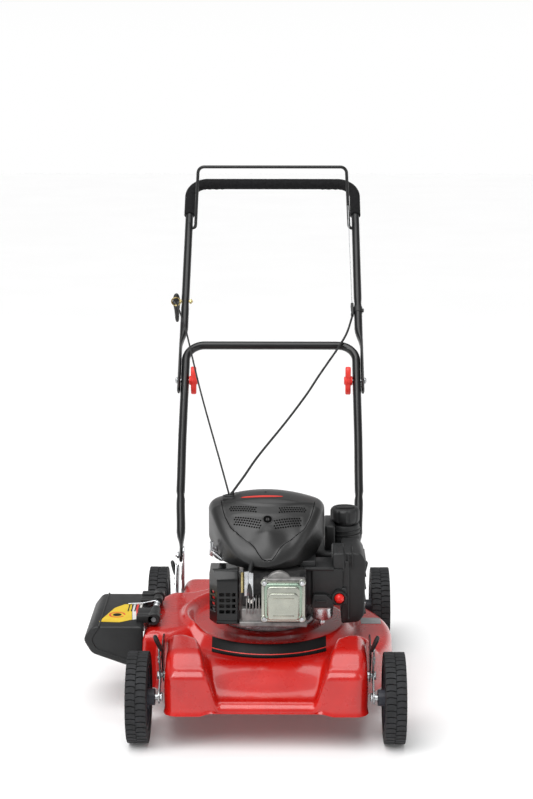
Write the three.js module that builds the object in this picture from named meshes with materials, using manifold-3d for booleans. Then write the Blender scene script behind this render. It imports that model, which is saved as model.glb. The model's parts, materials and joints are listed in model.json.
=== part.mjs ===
// Push lawn mower: side-discharge steel deck, vertical-shaft petrol engine, four
// plastic wheels on height levers, and a folding two-piece tube handle with a bail.
// Units are millimetres and +Z is up. The front of the mower faces -Y and the handle
// rises towards +Y. While it is built, the origin is on the ground below the blade.
import * as THREE from 'three';
import { mergeVertices } from 'three/addons/utils/BufferGeometryUtils.js';
import Module from 'manifold-3d';

const wasm = await Module();
wasm.setup();

// ---- driving dimensions ----
const GAP = 0.3; // clearance between pieces that meet

const WHEEL_RADIUS = 89;
const WHEEL_SIDES = 24;
const WHEEL_INNER_X = 228; // inner face of the tyre
const WHEEL_WIDTH = 42;
const FRONT_AXLE_Y = -255;
const REAR_AXLE_Y = 300;
const LEVER_RADIUS = 55; // from the lever's pivot to the axle
const LEVER_REST_ANGLE = 30; // degrees that the axle hangs below its pivot
const LEVER_X = 208;
const LEVER_THICKNESS = 3;

const DECK_THICKNESS = 3;
const DECK_RADIUS = 258; // round blade housing
const DECK_FRONT_Y = -315;
const DECK_REAR_Y = 300;
const DECK_FRONT_HALF = 195.5;
const DECK_REAR_HALF = 189.5;
const HOUSING_EDGE = 200; // where the front panel starts to fall
const PANEL_END_Y = -298;
const PANEL_LOW_Z = 98;
const PLATEAU_Z = 168; // seat of the engine
const CHANNEL_Z = 143; // annular top around the engine seat
const DISCHARGE_X = -252; // flat left wall with the discharge opening

const HANDLE_ANGLE = THREE.MathUtils.degToRad(42);
const HANDLE_PIVOT_Y = 280;
const HANDLE_PIVOT_Z = 215;
const TUBE_RADIUS = 10;
const TUBE_WALL = 1.4;
const TUBE_SIDES = 8;
const LOWER_END_X = 197.5; // flattened foot of the lower leg
const LOWER_LEG_X = 206.5;
const UPPER_END_X = 220.8; // flattened foot of the upper leg
const UPPER_LEG_X = 214.5;
const KNOB_S = 489; // distances along the handle from its lower pivot
const CROSSBAR_S = 596;
const GUIDE_S = 735;
const CLAMP_S = 707;
const BAIL_S = 980;
const GRIP_START_S = 1022;
const GRIP_S = 1134;
const BEND_RADIUS = 45;
const BAIL_LENGTH = 156;
const BOLT_RADIUS = 4;
const PIN_SIDES = 12;

const HINGE_X = -231; // axis of the discharge flap
const HINGE_Z = 192;
const HINGE_PIN_RADIUS = 3;
const CHUTE_TOP_Z = 187;
const CHUTE_FRONT_Y = -125;
const CHUTE_REAR_Y = 90;
const CHUTE_WALL = 3;

const GUIDE_X = -238; // eye that the starter rope runs through
const PULL_ANGLE = THREE.MathUtils.degToRad(20); // how far the starter rope rises as it is pulled

const SHROUD_X = -4.5; // the shroud's middle, left of the crankshaft
const SHROUD_RADIUS = 117;
const SHROUD_TOP_Z = 439.5;
const SHROUD_SIDE_RIM_Z = 346;
const SHROUD_FRONT_RIM_Z = 314;
const FLANGE_TOP_Z = 178;
const CYLINDER_X = 31; // the cylinder stands to the right of the crankshaft
const CYLINDER_Z = 268;
const HEAD_Y = -185;
const CAP_AT = [162, 90];
const OIL_AT = [-72, 74];
const PRIMER_AT = [145, 0, 247];
const BLADE_Z = 98;
const BLADE_THICKNESS = 4;
const BLADE_RADIUS = 225;

// ---- materials ----
const finish = (color, roughness, metalness) => ({ color, roughness, metalness });
const RED_PAINT = finish(0xc4161c, 0.3, 0.2);
const BLACK_PAINT = finish(0x141414, 0.4, 0.3);
const BLACK_PLASTIC = finish(0x1c1c1e, 0.5, 0.0);
const RED_PLASTIC = finish(0xd8261c, 0.4, 0.0);
const RUBBER = finish(0x1a1a1a, 0.85, 0.0);
const FOAM = finish(0x161616, 0.95, 0.0);
const ZINC = finish(0xb9bcbe, 0.35, 0.9);
const GOLD_ZINC = finish(0xb9a877, 0.35, 0.8);
const CAST_ALUMINIUM = finish(0x8e9092, 0.55, 0.8);
const CAST_IRON = finish(0x4a4a4c, 0.6, 0.7);
const STEEL = finish(0x8a8c90, 0.35, 0.9);

// ---- geometry helpers ----

/** Signed volume of an indexed mesh; positive when its faces point outwards. */
function signedVolume(positions, index) {
  const [a, b, c] = [new THREE.Vector3(), new THREE.Vector3(), new THREE.Vector3()];
  let volume = 0;
  for (let i = 0; i < index.length; i += 3) {
    a.fromArray(positions, index[i] * 3);
    b.fromArray(positions, index[i + 1] * 3);
    c.fromArray(positions, index[i + 2] * 3);
    volume += a.dot(b.cross(c)) / 6;
  }
  return volume;
}

/** A closed three.js geometry as a manifold solid, turned outwards if it was inside out. */
function solid(geometry) {
  const bare = geometry.index ? geometry.clone() : geometry;
  bare.deleteAttribute('normal');
  bare.deleteAttribute('uv');
  const merged = mergeVertices(bare, 1e-4);
  const positions = new Float32Array(merged.attributes.position.array);
  const index = [];
  const source = merged.index.array;
  for (let i = 0; i < source.length; i += 3) {
    const [p, q, r] = [source[i], source[i + 1], source[i + 2]];
    if (p !== q && q !== r && r !== p) index.push(p, q, r);
  }
  if (signedVolume(positions, index) < 0) index.reverse();
  const mesh = new wasm.Mesh({
    numProp: 3,
    vertProperties: positions,
    triVerts: new Uint32Array(index),
  });
  return new wasm.Manifold(mesh);
}

/** A manifold solid as a three.js geometry. */
function geometryOf(body) {
  const mesh = body.getMesh();
  const geometry = new THREE.BufferGeometry();
  geometry.setAttribute('position', new THREE.BufferAttribute(new Float32Array(mesh.vertProperties), 3));
  geometry.setIndex([...mesh.triVerts]);
  geometry.computeVertexNormals();
  return geometry;
}

/** A box between two corners. */
function box(x0, x1, y0, y1, z0, z1) {
  const geometry = new THREE.BoxGeometry(x1 - x0, y1 - y0, z1 - z0);
  geometry.translate((x0 + x1) / 2, (y0 + y1) / 2, (z0 + z1) / 2);
  return solid(geometry);
}

const AXIS_TURNS = {
  x: (geometry) => geometry.rotateZ(-Math.PI / 2),
  y: (geometry) => geometry,
  z: (geometry) => geometry.rotateX(Math.PI / 2),
};

/** A cylinder along an axis, from start to end on that axis, through the point at. */
function rod(axis, start, end, radius, at, sides = 16) {
  const [low, high] = [Math.min(start, end), Math.max(start, end)];
  const geometry = new THREE.CylinderGeometry(radius, radius, high - low, sides);
  AXIS_TURNS[axis](geometry);
  const middle = { x: at[0], y: at[1], z: at[2], [axis]: (low + high) / 2 };
  geometry.translate(middle.x, middle.y, middle.z);
  return solid(geometry);
}

/** A turned piece: the profile's [radius, height] points go round an axis through at. */
function turned(axis, profile, at, sides = 16, phase = 0) {
  const points = profile.map(([radius, height]) => new THREE.Vector2(radius, height));
  const geometry = new THREE.LatheGeometry(points, sides, phase);
  AXIS_TURNS[axis](geometry);
  geometry.translate(...at);
  return solid(geometry);
}

/** A flat plate, cut to an outline in the YZ plane, between two X values. */
function sidePlate(outline, x0, x1) {
  const shape = new THREE.Shape(outline.map(([y, z]) => new THREE.Vector2(y, z)));
  const geometry = new THREE.ExtrudeGeometry(shape, { depth: Math.abs(x1 - x0), bevelEnabled: false });
  geometry.rotateZ(Math.PI / 2);
  geometry.rotateY(Math.PI / 2);
  geometry.translate(Math.min(x0, x1), 0, 0);
  return solid(geometry);
}

/** A prism with an outline in the XZ plane, between two Y values. */
function frontPrism(outline, y0, y1) {
  const shape = new THREE.Shape(outline.map(([x, z]) => new THREE.Vector2(x, z)));
  const geometry = new THREE.ExtrudeGeometry(shape, { depth: y1 - y0, bevelEnabled: false });
  geometry.rotateX(Math.PI / 2);
  geometry.translate(0, y1, 0);
  return solid(geometry);
}

const union = (...bodies) => bodies.reduce((sum, body) => sum.add(body));

/** Join two rings of vertices, or a ring with itself moved on, by a band of triangles. */
function band(index, first, second, count) {
  for (let i = 0; i < count; i += 1) {
    const j = (i + 1) % count;
    index.push(first + i, first + j, second + j, first + i, second + j, second + i);
  }
}

/**
 * A swept bar or tube. Each station is { point, across, along }: the half widths across
 * the path and along the given normal. A bore leaves a wall of that thickness.
 */
function swept(stations, normal, sides, wall = 0) {
  const positions = [];
  const index = [];
  const count = stations.length;
  const ring = (i, inset) => {
    const before = stations[Math.max(i - 1, 0)].point;
    const after = stations[Math.min(i + 1, count - 1)].point;
    const tangent = after.clone().sub(before).normalize();
    const up = normal.clone().addScaledVector(tangent, -normal.dot(tangent)).normalize();
    const side = tangent.clone().cross(up);
    const { point, across, along } = stations[i];
    for (let k = 0; k < sides; k += 1) {
      const angle = (2 * Math.PI * (k + 0.5)) / sides;
      const vertex = point.clone();
      vertex.addScaledVector(side, (across - inset) * Math.cos(angle));
      vertex.addScaledVector(up, (along - inset) * Math.sin(angle));
      positions.push(...vertex.toArray());
    }
  };
  const last = (count - 1) * sides;
  const skin = (inset) => {
    const first = positions.length / 3;
    stations.forEach((_, i) => ring(i, inset));
    for (let i = first; i < first + last; i += sides) band(index, i, i + sides, sides);
    return first;
  };
  const outer = skin(0);
  if (wall > 0) {
    const innerStart = index.length;
    const inner = skin(wall);
    for (let i = innerStart; i < index.length; i += 3) {
      [index[i], index[i + 1]] = [index[i + 1], index[i]];
    }
    band(index, inner, outer, sides);
    band(index, outer + last, inner + last, sides);
  } else {
    for (let k = 1; k < sides - 1; k += 1) {
      index.push(outer, outer + k + 1, outer + k);
      index.push(outer + last, outer + last + k, outer + last + k + 1);
    }
  }
  const geometry = new THREE.BufferGeometry();
  geometry.setAttribute('position', new THREE.Float32BufferAttribute(positions, 3));
  geometry.setIndex(index);
  return solid(geometry);
}

/** A round cord through hand-placed points, smoothed by a curve. */
function cord(route, radius, steps, sides = 8) {
  const curve = new THREE.CatmullRomCurve3(route.map((point) => new THREE.Vector3(...point)));
  const points = curve.getSpacedPoints(steps);
  const stations = points.map((point) => ({ point, across: radius, along: radius }));
  return swept(stations, new THREE.Vector3(1, 0, 0), sides);
}

/**
 * A pressed or moulded cover, as rings of points round the Z axis. top(x, y) is the
 * height of its outer face, outline(angle) its plan radius, and rim(x, y) its lower edge.
 */
function cover({ top, outline, rim, fractions, segments, thickness, hole = 0 }) {
  const positions = [];
  const index = [];
  const ring = (fraction, inset, heightOf) => {
    for (let k = 0; k < segments; k += 1) {
      const angle = (2 * Math.PI * k) / segments;
      const radius = hole + (outline(angle) - inset - hole) * fraction;
      const [x, y] = [radius * Math.cos(angle), radius * Math.sin(angle)];
      positions.push(x, y, heightOf(x, y));
    }
  };
  const outward = fractions.map((fraction) => [fraction, 0, top]);
  const under = (x, y) => top(x, y) - thickness;
  const inward = fractions.map((fraction) => [fraction, thickness, under]).reverse();
  const rings = [...outward, [1, 0, rim], [1, thickness, rim], ...inward];
  rings.forEach((settings) => ring(...settings));
  for (let i = 0; i < rings.length; i += 1) {
    band(index, i * segments, ((i + 1) % rings.length) * segments, segments);
  }
  const geometry = new THREE.BufferGeometry();
  geometry.setAttribute('position', new THREE.Float32BufferAttribute(positions, 3));
  geometry.setIndex(index);
  return solid(geometry);
}

const model = new THREE.Group();

/** Add one named piece to the model. */
function add(name, body, settings) {
  const mesh = new THREE.Mesh(geometryOf(body), new THREE.MeshStandardMaterial(settings));
  mesh.name = name;
  model.add(mesh);
}

/** Smooth step from 0 at a to 1 at b. */
function ease(a, b, value) {
  const t = THREE.MathUtils.clamp((value - a) / (b - a), 0, 1);
  return t * t * (3 - 2 * t);
}

// ---- deck ----

/** Distance outside a box with rounded corners; negative inside. */
function outsideBox(x, y, x0, x1, y0, y1, corner) {
  const dx = Math.abs(x - (x0 + x1) / 2) - (x1 - x0) / 2 + corner;
  const dy = Math.abs(y - (y0 + y1) / 2) - (y1 - y0) / 2 + corner;
  return Math.hypot(Math.max(dx, 0), Math.max(dy, 0)) + Math.min(Math.max(dx, dy), 0) - corner;
}

/** Distance outside the deck's plan: round housing, front and rear corners, discharge. */
function outsideDeck(x, y) {
  const half = THREE.MathUtils.lerp(DECK_FRONT_HALF, DECK_REAR_HALF, ease(-100, 100, y));
  return Math.min(
    Math.hypot(x, y) - DECK_RADIUS,
    outsideBox(x, y, -half, half, DECK_FRONT_Y, DECK_REAR_Y, 26),
    outsideBox(x, y, DISCHARGE_X, 0, -128, 96, 8),
  );
}

/** Plan radius of the deck at an angle, found by halving. */
function deckOutline(angle) {
  let [low, high] = [DECK_RADIUS - 60, 460];
  for (let step = 0; step < 30; step += 1) {
    const middle = (low + high) / 2;
    if (outsideDeck(middle * Math.cos(angle), middle * Math.sin(angle)) < 0) low = middle;
    else high = middle;
  }
  return low;
}

/** Height of the deck's top face. */
function deckTop(x, y) {
  const radius = Math.hypot(x, y);
  const seat = PLATEAU_Z - 4 * ease(100, 120, radius);
  let height = THREE.MathUtils.lerp(seat, CHANNEL_Z, ease(155, 180, radius));
  // The channel climbs over the left side, where the cut grass leaves.
  const turn = Math.atan2(y, -x);
  const ramp = ease(1.9, 0.9, turn) * ease(-0.75, -0.45, turn);
  height += 32 * ramp * ease(150, 175, radius);
  // Sloping front panel, from the round housing down to the front lip.
  const forward = Math.max(-y / radius, 0.5);
  const reach = -PANEL_END_Y / forward;
  const down = ease(HOUSING_EDGE, reach, radius);
  height = THREE.MathUtils.lerp(height, PANEL_LOW_Z, down * ease(0.6, 0.75, forward));
  // Corner boxes above the front wheels.
  const inner = THREE.MathUtils.lerp(104, 126, (y - DECK_FRONT_Y) / 115);
  const boxMask = ease(inner - 8, inner + 8, Math.abs(x)) * ease(206, 224, radius) * ease(-120, -160, y);
  const boxTop = 184 - 22 * ease(-240, -312, y);
  height = THREE.MathUtils.lerp(height, boxTop, boxMask);
  // Lower corner boxes at the back.
  const rearMask = ease(110, 126, Math.abs(x)) * ease(206, 224, radius) * ease(130, 170, y);
  height = THREE.MathUtils.lerp(height, 158, rearMask);
  // Rolled shoulder along every side wall.
  const edge = -outsideDeck(x, y);
  const shoulder = THREE.MathUtils.clamp(1 - edge / 16, 0, 1);
  return height - 14 * shoulder * shoulder;
}

/** Lower edge of the deck: low at the sides and back, raised at the front. */
const deckRim = (x, y) => THREE.MathUtils.lerp(60, 80, ease(-150, -250, y));

function makeDeck() {
  const fractions = [0, 0.35, 0.47, 0.56, 0.64, 0.72, 0.8, 0.9, 0.96, 1];
  const shell = cover({
    top: deckTop,
    outline: deckOutline,
    rim: deckRim,
    fractions,
    segments: 52,
    thickness: DECK_THICKNESS,
    hole: 32,
  });
  const opening = box(DISCHARGE_X - 20, DISCHARGE_X + 22, -112, 80, 88, 152);
  const lug = (y) => box(-240, -222, y, y + 4, 160, HINGE_Z + 7);
  const pinHole = rod('y', -120, 120, HINGE_PIN_RADIUS + GAP + 0.1, [HINGE_X, 0, HINGE_Z], PIN_SIDES);
  const lugs = union(lug(-74), lug(44)).subtract(pinHole);
  add('deck_shell', shell.subtract(opening).add(lugs), RED_PAINT);
}

// ---- discharge chute ----

function makeChute() {
  const outer = [
    [-256, CHUTE_TOP_Z],
    [-352, CHUTE_TOP_Z],
    [-372, 160],
    [-355, 130],
    [-280, 103],
    [-256, 103],
  ];
  const inner = [
    [-240, CHUTE_TOP_Z - CHUTE_WALL],
    [-350.5, CHUTE_TOP_Z - CHUTE_WALL],
    [-368.5, 160],
    [-352, 131],
    [-352, 80],
    [-240, 80],
  ];
  const hollow = frontPrism(inner, CHUTE_FRONT_Y + CHUTE_WALL, CHUTE_REAR_Y - CHUTE_WALL);
  const hood = frontPrism(outer, CHUTE_FRONT_Y, CHUTE_REAR_Y).subtract(hollow);
  const arm = (y0, y1) => {
    const strap = box(-262, HINGE_X, y0, y1, CHUTE_TOP_Z - CHUTE_WALL, CHUTE_TOP_Z);
    const barrel = rod('y', y0, y1, 6.5, [HINGE_X, 0, HINGE_Z], PIN_SIDES);
    return union(strap, barrel);
  };
  const pinHole = rod('y', -140, 120, HINGE_PIN_RADIUS + GAP + 0.1, [HINGE_X, 0, HINGE_Z], PIN_SIDES);
  const body = union(hood, arm(-92, -75), arm(49, 66)).subtract(pinHole);
  add('discharge_chute', body, BLACK_PLASTIC);

  const pin = union(
    rod('y', -93, 67, HINGE_PIN_RADIUS, [HINGE_X, 0, HINGE_Z], PIN_SIDES),
    rod('y', -96, -92.5, 5, [HINGE_X, 0, HINGE_Z], PIN_SIDES),
    rod('y', 66.5, 70, 5, [HINGE_X, 0, HINGE_Z], PIN_SIDES),
  );
  add('chute_hinge_pin', pin, ZINC);

  const turns = 4;
  const stepsPerTurn = 8;
  const coilRadius = 5.6;
  const wireRadius = 1.1;
  const stations = [];
  for (let i = 0; i <= turns * stepsPerTurn; i += 1) {
    const angle = (2 * Math.PI * i) / stepsPerTurn;
    const x = HINGE_X + coilRadius * Math.cos(angle);
    const y = -22 + (30 * i) / (turns * stepsPerTurn);
    const z = HINGE_Z + coilRadius * Math.sin(angle);
    stations.push({ point: new THREE.Vector3(x, y, z), across: wireRadius, along: wireRadius });
  }
  add('chute_spring', swept(stations, new THREE.Vector3(0, 1, 0), 5), ZINC);
}

// ---- wheels and height levers ----

function makeWheel(prefix, side, axleY) {
  const at = [0, axleY, WHEEL_RADIUS];
  const corner = 1 / Math.cos(Math.PI / WHEEL_SIDES);
  const inner = side * WHEEL_INNER_X;
  const outer = side * (WHEEL_INNER_X + WHEEL_WIDTH);
  const tread = WHEEL_RADIUS * corner;
  const tyreProfile = [
    [64, inner],
    [tread - 7, inner],
    [tread, inner + side * 5],
    [tread, outer - side * 5],
    [tread - 7, outer],
    [64, outer],
    [64, inner],
  ];
  add(`${prefix}_tyre`, turned('x', tyreProfile, at, WHEEL_SIDES, Math.PI / WHEEL_SIDES), RUBBER);

  const rimProfile = [
    [6.5, side * 217],
    [16, side * 217],
    [16, side * 243],
    [57, side * 245],
    [57, inner + side * 4],
    [63.2, inner + side * 4],
    [63.2, outer - side * 4],
    [57, outer - side * 4],
    [57, side * 252],
    [16, side * 254],
    [16, side * 263],
    [6.5, side * 263],
    [6.5, side * 217],
  ];
  add(`${prefix}_rim`, turned('x', rimProfile, at, 14), BLACK_PLASTIC);

  const leverOuter = LEVER_X + LEVER_THICKNESS;
  const axleProfile = [
    [0, side * (LEVER_X - 5)],
    [8, side * (LEVER_X - 5)],
    [8, side * (LEVER_X - GAP)],
    [4, side * (LEVER_X - GAP)],
    [4, side * (leverOuter + GAP)],
    [6, side * (leverOuter + GAP)],
    [6, side * 263.4],
    [11, side * 263.4],
    [9, side * 268],
    [0, side * 268],
  ];
  add(`${prefix}_axle_bolt`, turned('x', axleProfile, at, 8), ZINC);
}

/** A point round a centre, at an angle in degrees from +Y towards +Z. */
function polar(centre, radius, degrees) {
  const angle = THREE.MathUtils.degToRad(degrees);
  return [centre[0] + radius * Math.cos(angle), centre[1] + radius * Math.sin(angle)];
}

/** Points on an arc about a centre. */
function arc(centre, radius, from, to, steps) {
  const points = [];
  for (let i = 0; i <= steps; i += 1) points.push(polar(centre, radius, from + ((to - from) * i) / steps));
  return points;
}

/** Where a height lever pivots: towards the middle of the mower and above the axle. */
function leverPivot(axleY) {
  const towards = axleY < 0 ? 1 : -1;
  const fall = THREE.MathUtils.degToRad(LEVER_REST_ANGLE);
  return [axleY + towards * LEVER_RADIUS * Math.cos(fall), WHEEL_RADIUS + LEVER_RADIUS * Math.sin(fall)];
}

function makeHeightLever(prefix, side, axleY) {
  const pivot = leverPivot(axleY);
  const axle = [axleY, WHEEL_RADIUS];
  const outward = axleY < 0 ? 180 : 0;
  const towards = axleY < 0 ? 1 : -1;
  const along = THREE.MathUtils.radToDeg(Math.atan2(axle[1] - pivot[1], axle[0] - pivot[0]));
  const stem = outward - towards * 60; // the handle's direction from the pivot
  const [x0, x1] = [side * LEVER_X, side * (LEVER_X + LEVER_THICKNESS)];
  const link = [
    ...arc(axle, 13, along - 90, along + 90, 4),
    ...arc(pivot, 13, along + 90, along + 270, 4),
  ];
  const tip = polar(pivot, 88, stem);
  const upright = [
    ...arc(tip, 8, stem - 90, stem + 90, 4),
    ...arc(pivot, 10, stem + 90, stem + 270, 4),
  ];
  const gripFoot = polar(pivot, 66, stem);
  const grip = [
    ...arc(tip, 9.5, stem - 90, stem + 90, 4),
    ...arc(gripFoot, 9.5, stem + 90, stem + 270, 4),
  ];
  const holes = union(
    rod('x', side * 190, side * 230, BOLT_RADIUS + GAP, [0, ...axle], PIN_SIDES),
    rod('x', side * 190, side * 230, 5 + GAP, [0, ...pivot], PIN_SIDES),
  );
  const body = union(
    sidePlate(link, x0, x1),
    sidePlate(upright, x0, x1),
    sidePlate(grip, side * (LEVER_X - 0.6), side * (LEVER_X + 9)),
  );
  add(`${prefix}_height_lever`, body.subtract(holes), ZINC);

  // Toothed plate on the deck's side wall, with the stud that the lever turns on.
  const [start, end] = axleY < 0 ? [52, 132] : [48, 128];
  const teeth = 12;
  const edge = [];
  for (let i = 0; i <= teeth; i += 1) {
    edge.push(polar(pivot, i % 2 ? 82 : 75, start + ((end - start) * i) / teeth));
  }
  const fan = [...edge, ...arc(pivot, 13, end + 60, start + 300, 6)];
  const wall = axleY < 0 ? DECK_FRONT_HALF : DECK_REAR_HALF;
  const plate = union(
    sidePlate(fan, side * (LEVER_X - 5.5), side * (LEVER_X - 3.5)),
    rod('x', side * (wall + GAP), side * (LEVER_X - 3.6), 9, [0, ...pivot], 12),
    rod('x', side * (LEVER_X - 4), side * (LEVER_X + LEVER_THICKNESS + GAP), 5, [0, ...pivot], 12),
    rod('x', side * (LEVER_X + LEVER_THICKNESS + GAP), side * (LEVER_X + 8), 9, [0, ...pivot], 6),
  );
  add(`${prefix}_height_plate`, plate, BLACK_PAINT);
}

const WHEELS = [
  ['front_left', -1, FRONT_AXLE_Y],
  ['front_right', 1, FRONT_AXLE_Y],
  ['rear_left', -1, REAR_AXLE_Y],
  ['rear_right', 1, REAR_AXLE_Y],
];

// ---- handle ----

const NORMAL = new THREE.Vector3(0, -Math.sin(HANDLE_ANGLE), Math.cos(HANDLE_ANGLE));

/** A point on the handle: sideways, along it from the lower pivot, and above its plane. */
function onHandle(x, s, n = 0) {
  return new THREE.Vector3(
    x,
    HANDLE_PIVOT_Y + s * Math.cos(HANDLE_ANGLE) - n * Math.sin(HANDLE_ANGLE),
    HANDLE_PIVOT_Z + s * Math.sin(HANDLE_ANGLE) + n * Math.cos(HANDLE_ANGLE),
  );
}

/** Mirror a left leg's stations and join both legs by a bar with round corners. */
function hoop(leg, barS, radius, bend) {
  const legX = leg[leg.length - 1].x;
  const steps = 6;
  const left = [...leg];
  for (let i = 0; i <= steps; i += 1) {
    const angle = ((Math.PI / 2) * i) / steps;
    const x = legX + bend * (1 - Math.cos(angle));
    left.push({ x, s: barS - bend + bend * Math.sin(angle), across: radius, along: radius });
  }
  const right = left.map((station) => ({ ...station, x: -station.x })).reverse();
  const stations = [...left, ...right];
  return stations.map(({ x, s, across, along }) => ({ point: onHandle(x, s), across, along }));
}

/** A bolt hole across the tube at a place on the handle, on one side or both. */
function crossHole(radius, s, from, to) {
  const { y, z } = onHandle(0, s);
  return rod('x', from, to, radius, [0, y, z], 12);
}

function makeLowerHandle() {
  const round = { across: TUBE_RADIUS, along: TUBE_RADIUS };
  const flat = { across: 4, along: 12.5 };
  const leg = [
    { x: -LOWER_END_X, s: -15, ...flat },
    { x: -LOWER_END_X, s: 20, ...flat },
    { x: -200, s: 60, ...round },
    { x: -204.5, s: 140, ...round },
    { x: -LOWER_LEG_X, s: 340, ...round },
  ];
  const tube = swept(hoop(leg, CROSSBAR_S, TUBE_RADIUS, BEND_RADIUS), NORMAL, TUBE_SIDES, TUBE_WALL);
  const holes = union(
    crossHole(BOLT_RADIUS + GAP, 0, -250, 250),
    crossHole(BOLT_RADIUS + GAP, KNOB_S, -250, 250),
  );
  add('lower_handle', tube.subtract(holes), BLACK_PAINT);
}

function makeUpperHandle() {
  const round = { across: TUBE_RADIUS, along: TUBE_RADIUS };
  const flat = { across: 4, along: 12.5 };
  const leg = [
    { x: -UPPER_END_X, s: 455, ...flat },
    { x: -UPPER_END_X, s: 606, ...flat },
    { x: -UPPER_LEG_X, s: 640, ...round },
  ];
  const tube = swept(hoop(leg, GRIP_S, TUBE_RADIUS, BEND_RADIUS), NORMAL, TUBE_SIDES, TUBE_WALL);
  const holes = union(
    crossHole(BOLT_RADIUS + GAP, KNOB_S, -250, 250),
    crossHole(BOLT_RADIUS + GAP, BAIL_S, -UPPER_LEG_X, UPPER_LEG_X),
    crossHole(3 + GAP, GUIDE_S, -250, -180),
    crossHole(2.5 + GAP, CLAMP_S, 180, 250),
  );
  add('upper_handle', tube.subtract(holes), BLACK_PAINT);

  const sleeve = { across: 14, along: 14 };
  const start = [{ x: -UPPER_LEG_X, s: GRIP_START_S, ...sleeve }];
  const grip = swept(hoop(start, GRIP_S, 14, BEND_RADIUS), NORMAL, TUBE_SIDES, 14 - TUBE_RADIUS - GAP);
  add('handle_grip', grip, FOAM);
}

function makeBail() {
  const pivot = onHandle(0, BAIL_S);
  const rodRadius = 4;
  const bend = 16;
  const left = [
    [-UPPER_LEG_X + 1.5, 0],
    [-203, 0],
    [-199, 2],
    [-197, 7],
  ];
  const topX = -190;
  const steps = 4;
  for (let i = 0; i <= steps; i += 1) {
    const angle = ((Math.PI / 2) * i) / steps;
    left.push([topX + bend * (1 - Math.cos(angle)), BAIL_LENGTH - bend + bend * Math.sin(angle)]);
  }
  const right = left.map(([x, height]) => [-x, height]).reverse();
  const stations = [...left, ...right].map(([x, height]) => ({
    point: new THREE.Vector3(x, pivot.y, pivot.z + height),
    across: rodRadius,
    along: rodRadius,
  }));
  add('bail_bar', swept(stations, new THREE.Vector3(0, -1, 0), 8), BLACK_PAINT);
}

/** Outline radius of a wing knob at an angle: a round hub with two wings. */
const wingRadius = (angle) => 11.5 + 22.5 * Math.cos(angle) ** 6;

function makeHandleFasteners() {
  const { y, z } = onHandle(0, KNOB_S);
  for (const [name, side] of [['left', -1], ['right', 1]]) {
    const outline = [];
    const points = 24;
    for (let i = 0; i < points; i += 1) {
      const angle = (2 * Math.PI * i) / points;
      const radius = wingRadius(angle);
      const turn = angle + Math.PI / 2;
      outline.push([y + radius * Math.cos(turn), z + radius * Math.sin(turn)]);
    }
    const inner = LOWER_LEG_X - TUBE_RADIUS - GAP;
    const knob = union(
      sidePlate(outline, side * (inner - 17), side * (inner - 4)),
      rod('x', side * (inner - 20), side * inner, 11, [0, y, z], 16),
    ).subtract(rod('x', side * 150, side * 250, BOLT_RADIUS + GAP, [0, y, z], PIN_SIDES));
    add(`wing_knob_${name}`, knob, RED_PLASTIC);

    const headStart = UPPER_END_X + 4 + GAP;
    const bolt = union(
      rod('x', side * 178, side * (headStart + 1), 4, [0, y, z], 12),
      rod('x', side * headStart, side * (headStart + 5), 8, [0, y, z], 12),
    );
    add(`handle_bolt_${name}`, bolt, ZINC);

    const wall = DECK_REAR_HALF + GAP;
    const foot = HANDLE_PIVOT_Z - 95;
    const strip = [
      ...arc([HANDLE_PIVOT_Y, HANDLE_PIVOT_Z + 8], 12, 0, 180, 6),
      [HANDLE_PIVOT_Y - 12, foot],
      [HANDLE_PIVOT_Y + 12, foot],
    ];
    const outerFace = LOWER_END_X + 4 + GAP;
    const bracket = union(
      sidePlate(strip, side * wall, side * (wall + 3)),
      rod('x', side * wall, side * (outerFace + 1), 4, [0, HANDLE_PIVOT_Y, HANDLE_PIVOT_Z], 12),
      rod('x', side * outerFace, side * (outerFace + 4.4), 8, [0, HANDLE_PIVOT_Y, HANDLE_PIVOT_Z], 6),
    );
    add(`handle_bracket_${name}`, bracket, ZINC);
  }
}

// ---- starter rope, brake cable and what they run through ----

const PULL = new THREE.Vector3(0, Math.cos(PULL_ANGLE), Math.sin(PULL_ANGLE));

function makeStarterPull() {
  const centre = onHandle(GUIDE_X, GUIDE_S);
  const facing = new THREE.Matrix4().lookAt(new THREE.Vector3(), PULL, new THREE.Vector3(1, 0, 0));
  const eye = new THREE.TorusGeometry(9.5, 1.9, 6, 14);
  eye.applyMatrix4(facing);
  eye.translate(...centre.toArray());
  const guide = union(
    solid(eye),
    rod('x', GUIDE_X + 8.5, -198, 3, centre.toArray(), 12),
    rod('x', -203.8, -198, 6.5, centre.toArray(), 6),
  );
  add('rope_guide', guide, GOLD_ZINC);

  const barCentre = centre.clone().addScaledVector(PULL, 22);
  const bar = new THREE.CapsuleGeometry(8, 60, 3, 10);
  bar.rotateX(Math.PI / 2 + PULL_ANGLE);
  bar.translate(...barCentre.toArray());
  const stem = new THREE.CylinderGeometry(5, 6.5, 17, 10);
  stem.rotateX(PULL_ANGLE + Math.PI);
  stem.translate(...centre.clone().addScaledVector(PULL, 12).toArray());
  add('starter_handle', union(solid(bar), solid(stem)), BLACK_PLASTIC);
}

const ROPE_LOWER = [[-80, -4, 433], [-104, 170, 456], [-160, 450, 557], [-206, 700, 654]];
const CABLE_LOWER = [
  [-73, -6, 435.5],
  [-51, 110, 441],
  [-23, 235, 455],
  [36, 420, 489],
  [84, 540, 528],
  [117, 605, 565],
  [158, 680, 609],
];

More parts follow.
